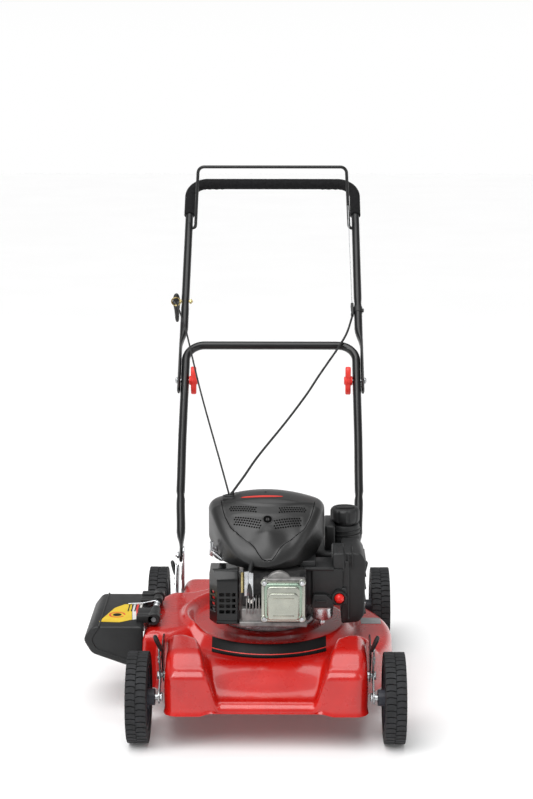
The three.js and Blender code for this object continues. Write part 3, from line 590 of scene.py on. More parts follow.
def make_floor():
    """A plain pale floor that glows a little."""
    mesh = bpy.data.meshes.new("floor")
    corners = [(x * FLOOR_REACH, y * FLOOR_REACH, 0) for x, y in ((-1, -1), (1, -1), (1, 1), (-1, 1))]
    mesh.from_pydata(corners, [], [(0, 1, 2, 3)])
    paper = finish("floor_paper", (245, 245, 245), (247, 247, 247), (0.8, 0.9), mottle=1.5, strength=0.02)
    shader = paper.node_tree.nodes["Principled BSDF"]
    shader.inputs["Emission Color"].default_value = (1.0, 1.0, 1.0, 1.0)
    shader.inputs["Emission Strength"].default_value = FLOOR_GLOW
    mesh.materials.append(paper)
    floor = add_object("floor", mesh)


# Brightness of the studio's walls by height: bright at the horizon, dimmer towards the ceiling.
WALLS = ((0.0, 1.0), (0.1, 0.95), (0.24, 0.42), (0.6, 0.3), (1.0, 0.5))


def make_walls():
    """A studio all round, which the shiny pieces reflect."""
    world = bpy.data.worlds.new("studio")
    world.use_nodes = True
    tree = world.node_tree
    coordinates = tree.nodes.new("ShaderNodeTexCoord")
    split = tree.nodes.new("ShaderNodeSeparateXYZ")
    ramp = tree.nodes.new("ShaderNodeValToRGB")
    while len(ramp.color_ramp.elements) < len(WALLS):
        ramp.color_ramp.elements.new(0.5)
    for stop, (height, level) in zip(ramp.color_ramp.elements, WALLS):
        stop.position = height
        stop.color = (level, level, level, 1.0)
    tree.links.new(coordinates.outputs["Generated"], split.inputs["Vector"])
    tree.links.new(split.outputs["Z"], ramp.inputs["Fac"])
    tree.links.new(ramp.outputs["Color"], tree.nodes["Background"].inputs["Color"])
    bpy.context.scene.world = world


def make_lights():
    """A wide soft sun from the upper left, and softboxes that draw the highlights."""
    data = bpy.data.lights.new("sun", "SUN")
    data.energy = SUN_STRENGTH
    data.angle = math.radians(SUN_SPREAD)
    sun = add_object("sun", data)
    sun.rotation_euler = (math.radians(SUN_TILT[0]), math.radians(SUN_TILT[1]), 0)
    for softbox in SOFTBOXES:
        make_softbox(*softbox)


# ---- deck ----

SHOULDER = 20  # radius of the rolled edge between the deck's top and its walls
DECK_SEGMENTS = 600
DECK_TOP_ROWS = 92
DECK_SHOULDER_ROWS = 12
DECK_WALL_ROWS = 14
DECK_HOLE = 32  # radius of the hole for the crankshaft
HALVINGS = 26
STEP_START = 158  # radii of the step between the engine's seat and the channel round it
STEP_END = 183
HOUSING_EDGE = 202  # where the front panel starts to fall
PANEL_END_Y = -298
PANEL_LOW_Z = 98
CHUTE_RISE = 32  # how far the channel climbs over the discharge
FRONT_BOX_Z = 184  # tops of the corner boxes
REAR_BOX_Z = 158


def outside_box(x, y, x0, x1, y0, y1, corner):
    """Distance outside a box with rounded corners; negative inside."""
    dx = abs(x - (x0 + x1) / 2) - (x1 - x0) / 2 + corner
    dy = abs(y - (y0 + y1) / 2) - (y1 - y0) / 2 + corner
    return math.hypot(max(dx, 0), max(dy, 0)) + min(max(dx, dy), 0) - corner


def outside_deck(x, y):
    """Distance outside the deck's plan: round housing, corners and discharge."""
    half = lerp(DECK_FRONT_HALF, DECK_REAR_HALF, ease(-100, 100, y))
    return min(
        math.hypot(x, y) - DECK_RADIUS,
        outside_box(x, y, -half, half, DECK_FRONT_Y, DECK_REAR_Y, 26),
        outside_box(x, y, -252, 0, -128, 96, 8),
    )


def deck_outline(angle):
    """Plan radius of the deck at an angle, found by halving."""
    low, high = DECK_RADIUS - 60, 460
    for _ in range(HALVINGS):
        middle = (low + high) / 2
        if outside_deck(middle * math.cos(angle), middle * math.sin(angle)) < 0:
            low = middle
        else:
            high = middle
    return low


def deck_top(x, y):
    """Height of the deck's top face."""
    radius = math.hypot(x, y)
    seat = PLATEAU_Z - 4 * ease(100, 120, radius)
    height = lerp(seat, CHANNEL_Z, ease(STEP_START, STEP_END, radius))
    # The channel climbs over the left side, where the cut grass leaves.
    turn = math.atan2(y, -x)
    ramp = ease(1.9, 0.9, turn) * ease(-0.75, -0.45, turn)
    height += CHUTE_RISE * ramp * ease(150, 175, radius)
    # Sloping front panel, from the round housing down to the front lip.
    forward = max(-y / max(radius, 1e-6), 0.5)
    reach = -PANEL_END_Y / forward
    down = ease(HOUSING_EDGE, reach, radius)
    height = lerp(height, PANEL_LOW_Z, down * ease(0.6, 0.75, forward))
    # Corner boxes above the front wheels.
    inner = lerp(104, 126, (y - DECK_FRONT_Y) / 115)
    box_mask = ease(inner - 15, inner + 15, abs(x)) * ease(202, 232, radius) * ease(-118, -165, y)
    height = lerp(height, FRONT_BOX_Z - 22 * ease(-240, -312, y), box_mask)
    # Lower corner boxes at the back.
    rear_mask = ease(110, 126, abs(x)) * ease(206, 224, radius) * ease(130, 170, y)
    height = lerp(height, REAR_BOX_Z, rear_mask)
    edge = clamp(-outside_deck(x, y), 0, SHOULDER)
    return height - SHOULDER + math.sqrt(SHOULDER ** 2 - (SHOULDER - edge) ** 2)


def deck_rim(x, y):
    """Lower edge of the deck: low at the sides and back, raised at the front."""
    return lerp(60, 80 - 6 * ease(104, 130, abs(x)), ease(-150, -250, y))


def deck_rows(inset):
    """Rings of points over the deck's top and down its walls, a little inside its skin."""
    steps = DECK_SHOULDER_ROWS
    insets = [SHOULDER * 1.25 * (1 - math.sin(math.pi / 2 * k / steps)) for k in range(steps + 1)]
    angles = angles_round(DECK_SEGMENTS)
    edges = [deck_outline(angle) - inset for angle in angles]
    rows = []
    for k in range(DECK_TOP_ROWS + len(insets)):
        row = []
        for angle, edge in zip(angles, edges):
            if k < DECK_TOP_ROWS:
                radius = lerp(DECK_HOLE, edge - insets[0], k / DECK_TOP_ROWS)
            else:
                radius = edge - insets[k - DECK_TOP_ROWS]
            x, y = radius * math.cos(angle), radius * math.sin(angle)
            row.append((x, y, deck_top(x, y) - inset))
        rows.append(row)
    for k in range(1, DECK_WALL_ROWS + 1):
        share = k / DECK_WALL_ROWS
        row = []
        for angle, edge in zip(angles, edges):
            x, y = edge * math.cos(angle), edge * math.sin(angle)
            bulge = 2.0 * math.sin(math.pi * share) + 4.5 * ease(0.86, 1.0, share)
            scale = (edge + bulge) / edge
            z = lerp(deck_top(x, y) - inset, deck_rim(x, y), share)
            row.append((x * scale, y * scale, z))
        rows.append(row)
    return rows


def deck_patch(columns, rows, place, lift=0.6):
    """A label on the deck. place(u, v) gives the plan point for shares from 0 to 1."""
    def on_deck(u, v):
        x, y = place(u, v)
        return x, y, deck_top(x, y) + lift
    return sticker(columns, rows, on_deck)


def make_deck():
    """The pressed deck, open at the discharge, with two lugs for the flap's hinge pin."""
    shell = skin(deck_rows(0) + deck_rows(SKIN)[::-1], close=True)
    opening = block((-276, -112, 88), (-228, 80, 150), bevel=6, segments=4)
    shell = carve(shell, opening)
    lugs = []
    for y in (-74, 44):
        outline = soften([(-240, 158), (-240, 193), (-231, 201), (-222, 193), (-222, 158)], 7)
        lugs.append(prism(outline, "y", y, y + 4, bevel=0.8))
    piece("deck_pressing", joined(shell, *lugs), [RED_PAINT], "chassis", ["deck_shell"])


LABEL_X = 4
LABEL_HALF = 115
# Distances from the crankshaft: the front label's edges, and those of the red line on it.
LABEL_EDGES = (160, 185)
LABEL_LINE = (175.5, 176.8)


def make_labels():
    """Blank labels: a black band at the front, a thin red line on it and a silver plate."""
    def band_place(first, last):
        def place(u, v):
            x = LABEL_X + lerp(-LABEL_HALF, LABEL_HALF, u)
            radius = lerp(first, last, v)
            return x, -math.sqrt(radius ** 2 - x ** 2)
        return place
    band = deck_patch(64, 12, band_place(*LABEL_EDGES))
    line = deck_patch(64, 2, band_place(*LABEL_LINE), lift=1.0)
    piece("front_label", joined(band, painted(line, 1)), [LABEL_BLACK, RED_PLASTIC], "chassis")
    plate = deck_patch(10, 8, lambda u, v: (lerp(196, 238, u), lerp(26, 64, v)))
    piece("side_plate_label", plate, [LABEL_SILVER], "chassis")


# ---- discharge flap ----

FLAP_FRONT_Y = -125
FLAP_REAR_Y = 90
FLAP_WALL = 3
# Hinge barrels: start and end along the hinge, and radius.
FLAP_BARRELS = ((-95, -74.5, 13), (-69, -34, 10.5), (17, 43, 10.5), (48.5, 69, 13))


def make_flap():
    """The moulded discharge flap with its bead, hinge barrels and ribs, and what is on it."""
    top = CHUTE_TOP_Z
    outer = [(-250, top), (-352, top), (-372, 160), (-355, 130), (-280, 103), (-250, 103)]
    inner = [(-230, top - 3), (-350.5, top - 3), (-368, 160), (-352, 132), (-352, 80), (-230, 80)]
    hood = prism(soften(outer, 9), "y", FLAP_FRONT_Y, FLAP_REAR_Y, bevel=4, segments=4)
    hollow = prism(inner, "y", FLAP_FRONT_Y + FLAP_WALL, FLAP_REAR_Y - FLAP_WALL, bevel=0)
    shapes = [carve(hood, hollow)]
    # A raised bead runs round the outer end, across the top and down both ends.
    bead = [(-283, 116), (-346, 140), (-356, 160), (-339, top)]
    for y in (FLAP_FRONT_Y, FLAP_REAR_Y):
        route = soften([(x, y, z) for x, z in bead], 7, closed=False)
        shapes.append(tube(route, 1.7, 8))
    shapes.append(tube([(-339, FLAP_FRONT_Y, top), (-339, FLAP_REAR_Y, top)], 1.7, 8))
    for y0, y1, radius in FLAP_BARRELS:
        shapes.append(block((-266, y0, top - 3), (HINGE.x, y1, HINGE.z + radius - 5), 1.6, 3))
        shapes.append(rod("y", y0, y1, radius, (HINGE.x, 0, HINGE.z), 32, 1.8))
    for k in range(5):
        x = -262 - 7 * k
        shapes.append(block((x, -30, top - 1), (x + 2.4, 12, top + 1.6), 0.6))
    piece("discharge_flap", joined(*shapes), [BLACK_PLASTIC], "chute", ["discharge_chute"])
    make_flap_label()
    make_flap_spring()


def make_flap_label():
    """A blank two-colour label on top of the flap."""
    z = CHUTE_TOP_Z + 0.2
    yellow = [(-342, -94), (-318, -8), (-300, 15), (-285, 18), (-276, -82), (-300, -98)]
    white = [(-284, 18), (-262, 26), (-253, -74), (-275, -82)]
    middle = (-309, -52)
    ring = arc(middle, 17, 0, 330, 22) + arc(middle, 13.5, 330, 0, 22)
    spot = arc(middle, 9, 0, 340, 17)
    stripe = [(-276, 14), (-270, 16), (-262, -70), (-268, -72)]
    sheets = [painted(prism(outline, "z", z - 0.8, z + 0.3, bevel=0), number)
              for outline, number in ((yellow, 0), (white, 1))]
    marks = [painted(prism(outline, "z", z - 0.4, z + 0.5, bevel=0), number)
             for outline, number in ((ring, 2), (stripe, 2), (spot, 3))]
    piece("flap_label", joined(*sheets, *marks), [LABEL_YELLOW, LABEL_WHITE, RED_PLASTIC, LABEL_BLACK],
          "chute")


def make_flap_spring():
    """A torsion spring round the hinge pin, with a leg on the flap and one on the deck."""
    coil = helix((HINGE.x, -26, HINGE.z), (HINGE.x, 10, HINGE.z), (5.6, 0, 0), (0, 0, 5.6), 8, 16)
    leg = [(HINGE.x - 2, 12, HINGE.z + 5.4), (-262, 13, CHUTE_TOP_Z + 4), (-292, 13, CHUTE_TOP_Z + 2.6)]
    tail = [(HINGE.x + 5.4, -28, HINGE.z - 1), (-224, -30, 184), (-219, -31, 180)]
    wires = [tube(route, 1.1, 8) for route in (coil, leg, tail)]
    piece("flap_spring", joined(*wires), [ZINC], "chassis", ["chute_spring"])


# ---- wheels and height levers ----

TREAD_BLOCKS = 44
TREAD_SHARE = 0.84  # share of the way round that the blocks take up
# Rows of tread: start and end across the tyre, and a shift round it in blocks.
TREAD_ROWS = ((1.0, 20.7, 0.0), (21.3, 41.0, 0.5))
RIBS = 8
WHEEL_INNER_X = 228
WHEEL_OUTER_X = WHEEL_INNER_X + 42


def span(side, near, far):
    """Two distances from the middle on one side, as X coordinates with the lower one first."""
    return sorted((side * near, side * far))


def round_axle(shape, axle, angle):
    """A shape made about the X axis, after a turn and a move to a wheel's axle."""
    turn = Matrix.Rotation(angle, 4, "X")
    return turned(shape, Matrix.Translation((0, axle.y, axle.z)) @ turn)


def tyre_shape(side, axle):
    """A rubber tyre with two staggered rows of tread blocks."""
    inner, outer = WHEEL_INNER_X, WHEEL_OUTER_X
    profile = [
        (63.4, inner + 3), (66, inner + 0.5), (72, inner), (75, inner + 1.6), (79, inner + 1.4),
        (83, inner + 0.8), (85.4, inner + 3.2), (85.8, inner + 8), (85.8, outer - 8),
        (85.4, outer - 3.2), (83, outer - 0.8), (79, outer - 1.4), (75, outer - 1.6), (72, outer),
        (66, outer - 0.5), (63.4, outer - 3),
    ]
    shapes = [lathe([(r, side * x) for r, x in profile], "x", (0, axle.y, axle.z), 80, close=True)]
    half = TREAD_SHARE * math.pi * WHEEL_RADIUS / TREAD_BLOCKS
    for start, end, shift in TREAD_ROWS:
        for angle in angles_round(TREAD_BLOCKS, shift):
            shapes.append(round_axle(tread_lug(side, start, end, half), axle, angle))
    return joined(*shapes)


def tread_lug(side, start, end, half):
    """One tread block with arched edges, standing on top of a wheel about the X axis."""
    near, far = WHEEL_INNER_X + start, WHEEL_INNER_X + end
    steps, arch = 6, 1.9
    front = []
    for k in range(steps + 1):
        share = k / steps
        front.append((side * lerp(near, far, share), arch * math.sin(math.pi * share)))
    outline = [(x, bend - half) for x, bend in front]
    outline += [(x, bend + half) for x, bend in reversed(front)]
    return prism(outline, "z", 84.5, WHEEL_RADIUS - 0.3, bevel=0.5, segments=1)


def rim_shape(side, axle):
    """A moulded wheel: felloe, web, hub and eight ribs on each face."""
    inner, outer = WHEEL_INNER_X, WHEEL_OUTER_X
    profile = [
        (6.5, 217), (15, 217), (16, 218), (16, 243), (56, 245), (57, 244), (57, inner + 4),
        (58, inner + 3), (63.2, inner + 3), (63.2, outer - 3), (58, outer - 3), (57, outer - 4),
        (57, 253), (56, 252), (16, 254), (16, 262), (15, 263), (6.5, 263),
    ]
    profile = [(radius, side * x) for radius, x in profile]
    shapes = [lathe(profile, "x", (0, axle.y, axle.z), 72, close=True)]
    for angle in angles_round(RIBS):
        for near, far in ((inner + 5, 246), (251, outer - 7)):
            low, high = span(side, near, far)
            rib = block((low, -1.6, 14), (high, 1.6, 58), 0.9)
            shapes.append(round_axle(rib, axle, angle))
    return joined(*shapes)


def hex_head(axis, start, end, across, at):
    """A six-sided bolt head or nut."""
    points = [polar((0, 0), across / 2 / math.cos(math.pi / 6), 60 * k) for k in range(6)]
    u, v, _ = AXES[axis]
    outline = [(at[u] + a, at[v] + b) for a, b in points]
    return prism(outline, axis, start, end, bevel=0.7)


def axle_bolt_shape(side, axle):
    """A wheel's bolt: a shank, a nut behind the lever and a domed cap outside."""
    at = (0, axle.y, axle.z)
    shank = rod("x", side * 203, side * 266, 6, at)
    inner = hex_head("x", side * 203, side * 207.6, 15, at)
    cap = lathe([(11, side * 263.5), (11, side * 265), (9, side * 267.6), (0, side * 268.4)], "x", at)
    return joined(shank, inner, cap)


def lever_shape(side, axle, centre):
    """A flat steel lever from the axle to its pivot, and up to a moulded grip."""
    front = axle.y < centre.y
    stem = 120 if front else 60  # direction of the grip, in degrees
    along = math.degrees(math.atan2(axle.z - centre.z, axle.y - centre.y))
    pin, hub = (centre.y, centre.z), (axle.y, axle.z)
    near, far = span(side, LEVER_X, LEVER_X + 3)
    link = arc(hub, 13, along - 90, along + 90, 12) + arc(pin, 13, along + 90, along + 270, 12)
    tip, waist = polar(pin, 80, stem), polar(pin, 40, stem)
    strap = arc(tip, 5.5, stem - 90, stem + 90, 8) + arc(pin, 9.5, stem + 90, stem + 270, 10)
    steel = joined(prism(link, "x", near, far, 0.5), prism(strap, "x", near, far, 0.5))
    studs = [waist, polar(pin, 52, stem)]
    rivets = [rod("x", side * (LEVER_X - 1), side * (LEVER_X + 5), 3.4, (0, *stud), 12) for stud in studs]
    foot, top = (72, 118) if front else (58, 93)
    foot_x, top_x = (204, 216) if front else (210, 219)
    stations = []
    for k in range(13):
        share = k / 12
        y, z = polar(pin, lerp(foot, top, share), stem)
        swell = math.sqrt(max(0.02, 1 - abs(2 * share - 1) ** 5)) * lerp(0.78, 1, share)
        stations.append(((side * lerp(foot_x, top_x, share), y, z), 5 * swell, 7.5 * swell))
    grip = sweep(stations, 20, (0, 1, 0))
    return joined(steel, *rivets, painted(grip, 1))


def height_plate_shape(side, axle, centre):
    """A notched plate beside the deck, with the stud that the lever turns on."""
    front = axle.y < centre.y
    pin = (centre.y, centre.z)
    start, end = (52, 132) if front else (48, 128)
    teeth = 16
    edge = []
    for k in range(teeth + 1):
        angle = lerp(start, end, k / teeth)
        edge.append(polar(pin, 76 if k % 2 else 81, angle))
    fan = edge + arc(pin, 13, end + 60, start + 300, 10)
    wall = DECK_FRONT_HALF if front else DECK_REAR_HALF
    at = (0, centre.y, centre.z)
    low, high = span(side, LEVER_X - 5.5, LEVER_X - 3.5)
    plate = prism(fan, "x", low, high, bevel=0.4)
    spacer = rod("x", side * (wall + 0.4), side * (LEVER_X - 3.6), 9, at)
    stud = rod("x", side * (LEVER_X - 4), side * (LEVER_X + 3.4), 5, at)
    nut = hex_head("x", side * (LEVER_X + 3.4), side * (LEVER_X + 8), 15, at)
    return joined(plate, painted(spacer, 1), painted(stud, 1), painted(nut, 1))


def make_wheels():
    """Four wheels with their bolts, height levers and notched plates."""
    for end in ("front", "rear"):
        for name, side in (("left", -1), ("right", 1)):
            corner = f"{end}_{name}"
            axle = pivot(f"{corner}_wheel_spin")
            centre = pivot(f"{corner}_height")
            wheel, adjuster = f"{corner}_wheel", f"{corner}_adjuster"
            piece(f"{corner}_tread", tyre_shape(side, axle), [RUBBER], wheel,
                  [f"{corner}_tyre"])
            piece(f"{corner}_wheel_moulding", rim_shape(side, axle), [WHEEL_PLASTIC], wheel,
                  [f"{corner}_rim"])
            piece(f"{corner}_bolt", axle_bolt_shape(side, axle), [ZINC], adjuster,
                  [f"{corner}_axle_bolt"])
            piece(f"{corner}_lever", lever_shape(side, axle, centre), [ZINC, BLACK_PLASTIC], adjuster,
                  [f"{corner}_height_lever"])
            piece(f"{corner}_notched_plate", height_plate_shape(side, axle, centre),
                  [BLACK_PAINT, ZINC], "chassis", [f"{corner}_height_plate"])


# ---- handle ----

BEND_RADIUS = 45
BEND_STEPS = 14
STATION_SPACING = 12
SLEEVE_RADIUS = 13.6  # the foam grip
GRIP_WAVES = 1.5  # to each side of a corner's middle
WAVE_LENGTH = 18.0
WAVE_HEIGHT = 2.6
WAVES_X = UPPER_LEG_X - 58  # the middle of a corner's waves


def hoop(leg, bar_s, radius, bar_steps=24):
    """A left leg's stations, mirrored, with a bar and round corners between the legs."""
    corner = quarter_turn(leg[-1][0], bar_s, BEND_RADIUS, BEND_STEPS)[1:]
    left = list(leg) + [(x, s, radius, radius) for x, s in corner]
    start = left[-1][0]
    middle = [(lerp(start, -start, k / bar_steps), bar_s, radius, radius) for k in range(1, bar_steps)]
    right = [(-x, s, across, along) for x, s, across, along in reversed(left)]
    return [(on_handle(x, s), across, along) for x, s, across, along in left + middle + right]


def refined(leg):
    """A leg's stations with more between them, eased from one to the next."""
    fine = [leg[0]]
    for first, second in zip(leg, leg[1:]):
        count = max(1, round(abs(second[1] - first[1]) / STATION_SPACING))
        for k in range(1, count + 1):
            share = k / count
            soft = ease(0, 1, share)
            x = lerp(first[0], second[0], soft)
            s = lerp(first[1], second[1], share)
            fine.append((x, s, lerp(first[2], second[2], soft), lerp(first[3], second[3], soft)))
    return fine


def handle_tube(name, leg, bar_s):
    """One of the handle's two painted tubes, from its left leg's stations."""
    bar = sweep(hoop(refined(leg), bar_s, TUBE_RADIUS), 24, HANDLE_NORMAL)
    piece(f"{name}_tube", bar, [BLACK_PAINT], name, [name])


def make_lower_handle():
    """The lower tube, with flattened feet and a dimple in each leg."""
    whole = (TUBE_RADIUS, TUBE_RADIUS)
    dimple = (8.4, 10.4)
    handle_tube("lower_handle", [
        (-LOWER_END_X, -15, 2.6, 6), (-LOWER_END_X, -11, *FLAT_FOOT), (-LOWER_END_X, 20, *FLAT_FOOT),
        (-200, 60, *whole), (-203.5, 146, *whole), (-204.2, 158, *dimple),
        (-204.8, 170, *whole), (-LOWER_LEG_X, 340, *whole), (-LOWER_LEG_X, 551, *whole),
    ], CROSSBAR_S)


def make_upper_handle():
    """The upper tube, with flattened feet outside the lower one's legs."""
    whole = (TUBE_RADIUS, TUBE_RADIUS)
    handle_tube("upper_handle", [
        (-UPPER_END_X, 455, 2.6, 7), (-UPPER_END_X, 459, *FLAT_FOOT), (-UPPER_END_X, 590, *FLAT_FOOT),
        (-UPPER_LEG_X, 648, *whole), (-UPPER_LEG_X, 712, *whole), (-UPPER_LEG_X, 728, 8.8, 10),
        (-UPPER_LEG_X, 744, *whole), (-UPPER_LEG_X, 1089, *whole),
    ], GRIP_S)


def make_grip():
    """A foam sleeve over the top bar, with finger waves on the inner side of each corner."""
    radius = SLEEVE_RADIUS
    leg = [(-UPPER_LEG_X, GRIP_START_S, radius - 2, radius - 2)]
    leg += [(-UPPER_LEG_X, s, radius, radius)
            for s in (GRIP_START_S + 2, *range(GRIP_START_S + 7, 1090, 5))]
    stations = hoop(leg, GRIP_S, radius, bar_steps=80)
    shape = sweep(stations, 28, HANDLE_NORMAL)
    centre = on_handle(0, GRIP_S - 120)
    for vertex in shape.verts:
        nearest = min(stations, key=lambda station: (station[0] - vertex.co).length_squared)[0]
        outward = (vertex.co - nearest).normalized()
        inner = clamp(-outward.dot((nearest - centre).normalized()))
        offset = abs(abs(nearest.x) - WAVES_X)
        if offset < GRIP_WAVES * WAVE_LENGTH:
            swell = 0.5 - 0.5 * math.cos(2 * math.pi * offset / WAVE_LENGTH)
            vertex.co += outward * (WAVE_HEIGHT * inner * swell)
    grip = piece("foam_grip", shape, [FOAM], "upper_handle", ["handle_grip"])


BAIL_LENGTH = 156


def make_bail():
    """A wire bail: two short studs in the handle's legs, legs standing up and a top bar."""
    foot = pivot("bail_squeeze")
    left = [(-UPPER_LEG_X + 1.5, 0), (-203, 0), (-200, 1), (-198, 3.4), (-197, 8)]
    left += quarter_turn(-190, BAIL_LENGTH, 16, 10)
    right = [(-x, height) for x, height in reversed(left)]
    route = [(x, foot.y, foot.z + height) for x, height in left + right]
    piece("bail_wire_bar", tube(route, 4, 16, (0, -1, 0)), [BLACK_PAINT], "bail", ["bail_bar"])


def knob_shape(side, centre):
    """A moulded knob: a hub with two wings, on a short collar."""
    outline = []
    for angle in angles_round(48):
        radius = 11.5 + 22.5 * math.cos(angle) ** 6
        turn = angle + math.pi / 2
        outline.append((centre.y + radius * math.cos(turn), centre.z + radius * math.sin(turn)))
    inner = LOWER_LEG_X - TUBE_RADIUS - 0.3
    low, high = span(side, inner - 17, inner - 4)
    wings = prism(outline, "x", low, high, bevel=3, segments=3)
    collar = rod("x", side * (inner - 5), side * inner, 11, centre, 32, 1.2)
    boss = rod("x", side * (inner - 20), side * (inner - 10), 10, centre, 32, 1.6)
    return joined(wings, collar, boss)


def make_fasteners():
    """On each side: a wing knob, the bolt it turns on, and the handle's bracket."""
    for name, side in (("left", -1), ("right", 1)):
        centre = pivot(f"knob_{name}_turn")
        piece(f"{name}_knob", knob_shape(side, centre), [RED_PLASTIC], f"knob_{name}",
              [f"wing_knob_{name}"])
        head = UPPER_END_X + 4.3
        dome = [(8, head), (8, head + 1.5), (5.5, head + 4), (0, head + 5.2)]
        dome = lathe([(radius, side * x) for radius, x in dome], "x", (0, centre.y, centre.z))
        shank = rod("x", side * 176, side * (head + 1), 4, centre, 16)
        piece(f"{name}_handle_bolt", joined(shank, dome), [ZINC], "lower_handle",
              [f"handle_bolt_{name}"])
        piece(f"{name}_bracket", bracket_shape(side), [ZINC], "chassis", [f"handle_bracket_{name}"])


def bracket_shape(side):
    """A plated strip with folded edges on the deck's wall, two bolts, and the handle's stud."""
    wall = DECK_REAR_HALF + 0.3
    y, z = HANDLE_PIVOT.y, HANDLE_PIVOT.z
    foot = z - 95
    outline = arc((y, z + 8), 12, 0, 180, 12) + [(y - 12, foot), (y + 12, foot)]
    low, high = span(side, wall, wall + 3)
    strip = prism(outline, "x", low, high, bevel=0.7)
    at = (0, y, z)
    outer = LOWER_END_X + 4.3
    stud = rod("x", side * wall, side * (outer + 8), 4, at, 16)
    nut = hex_head("x", side * outer, side * (outer + 4.4), 13, at)
    shapes = [strip, stud, nut]
    for low_z in (foot + 12, foot + 44):
        shapes.append(hex_head("x", side * (wall + 3), side * (wall + 7.5), 12, (0, y, low_z)))
    low, high = span(side, wall + 2, wall + 6)
    for edge in (y - 10.5, y + 10.5):
        shapes.append(block((low, edge - 1.2, foot + 4), (high, edge + 1.2, z - 22), 0.5))
    return joined(*shapes)


# ---- starter rope, brake cable and what they run through ----

ROPE_LOWER = [(-80, -4, 433), (-104, 170, 456), (-160, 450, 557), (-206, 700, 654)]
ROPE_UPPER = [(-206, 700, 654), (-222, 765, 681)]
CABLE_LOWER = [
    (-73, -6, 435.5), (-51, 110, 441), (-23, 235, 455), (36, 420, 489),
    (84, 540, 528), (117, 605, 565), (158, 680, 609),
]
CABLE_UPPER = [(158, 680, 609), (184, 735, 641)]
CLAMP_X = 200
ROPE_RADIUS = 2
CABLE_RADIUS = 2.6
WIRE_RADIUS = 0.9


def make_guide():
    """A spiral wire eye on a shank through the handle's left leg, with two nuts."""
    centre = on_handle(GUIDE_X, GUIDE_S)
    across = Vector((10.5, 0, 0))
    up = PULL.cross(across)
    ring = helix(centre - PULL * 3.4, centre + PULL * 3.4, across, up, 1.6, 28, phase=-0.4)
    shank = rod("x", GUIDE_X + 8, -196, 3, centre, 16)
    nut = hex_head("x", -203.8, -198.6, 11, centre)
    collar = hex_head("x", GUIDE_X + 9.6, -225, 11, centre)
    piece("rope_eye", joined(tube(ring, 1.9, 10), shank, nut, collar), [GOLD_ZINC], "upper_handle",
          ["rope_guide"])


T_HANDLE_HALF = 41
T_HANDLE_OUT = 22  # the bar's middle, from the eye along the pull and down across it
T_HANDLE_DROP = 30


def make_starter_handle():
    """A moulded T-handle: a rounded bar, thickest above its middle, on a bent, tapered stem."""
    centre = on_handle(GUIDE_X, GUIDE_S)
    across = PULL.cross(Vector((1, 0, 0))).normalized()  # towards the ground
    middle = centre + PULL * T_HANDLE_OUT + across * T_HANDLE_DROP
    stations = []
    count = 30
    for k in range(count + 1):
        share = 2 * k / count - 1
        tip = math.sqrt(max(0.0, 1 - abs(share) ** 7))
        width = 5.4 + 4 * math.exp(-((share + 0.45) / 0.55) ** 2)
        place = middle + across * (T_HANDLE_HALF * share)
        stations.append((place, max(8 * tip, 0.6), max(width * tip, 0.6)))
    stem = [(centre + PULL * 3, 5), (centre + PULL * 7 + across * 3, 5.4),
            (centre + PULL * 14 + across * 10, 6.4), (middle - across * 12, 7)]
    piece("starter_grip", joined(sweep(stations, 20, (1, 0, 0)), sweep(stem, 16, (1, 0, 0))),
          [BLACK_PLASTIC], "starter_handle", ["starter_handle"])


def make_cord(name, route, radius, steps, sides, bodies, node, bend=None):
    """A cord through a route's points, which stays where it is made; bodies and bend[0] to bend[-1] go to
    piece(), which does not bend it.
    """
    bend = bend or route
    shape = tube(smooth_route(route, steps), radius, sides)
    piece(name, shape, [CORD_BLACK], (*bodies, bend[0], bend[-1]), [node])


def make_cords():
    """The starter rope, the brake cable and the bail's wire, in one piece for each stretch."""
    eye = on_handle(GUIDE_X, GUIDE_S) + PULL * 2.5
    clamp_foot = on_handle(CLAMP_X, CLAMP_S - 20, 2)
    clamp_top = on_handle(CLAMP_X, CLAMP_S + 19, 2)
    foot = pivot("bail_squeeze")
    hook = Vector((194, foot.y - 5.6, foot.z + 58))
    low_bend, high_bend = ("chassis", "lower_handle"), ("lower_handle", "upper_handle")

    make_cord("rope_to_crossbar", ROPE_LOWER, ROPE_RADIUS, 24, 10, low_bend, "starter_rope_lower",
              bend=ROPE_LOWER[:3])
    make_cord("rope_to_eye", ROPE_UPPER + [eye], ROPE_RADIUS, 16, 10, high_bend, "starter_rope_upper")
    start, end = eye - PULL * 2, eye + PULL * 4
    pulled = tube([start, eye + PULL * 1, end], 1.8, 10)
    piece("rope_in_eye", pulled, [CORD_BLACK], ("upper_handle", "starter_handle", start, end))

    make_cord("cable_to_crossbar", CABLE_LOWER, CABLE_RADIUS, 14, 12, low_bend, "brake_cable_lower")
    make_cord("cable_to_clamp", CABLE_UPPER + [clamp_foot], CABLE_RADIUS, 14, 12, high_bend,
              "brake_cable_upper")
    wire = tube(smooth_route([clamp_top, (clamp_top + hook) / 2, hook], 12), WIRE_RADIUS, 8)
    piece("bail_pull_wire", wire, [ZINC], ("upper_handle", "bail", clamp_top, hook), ["bail_wire"])


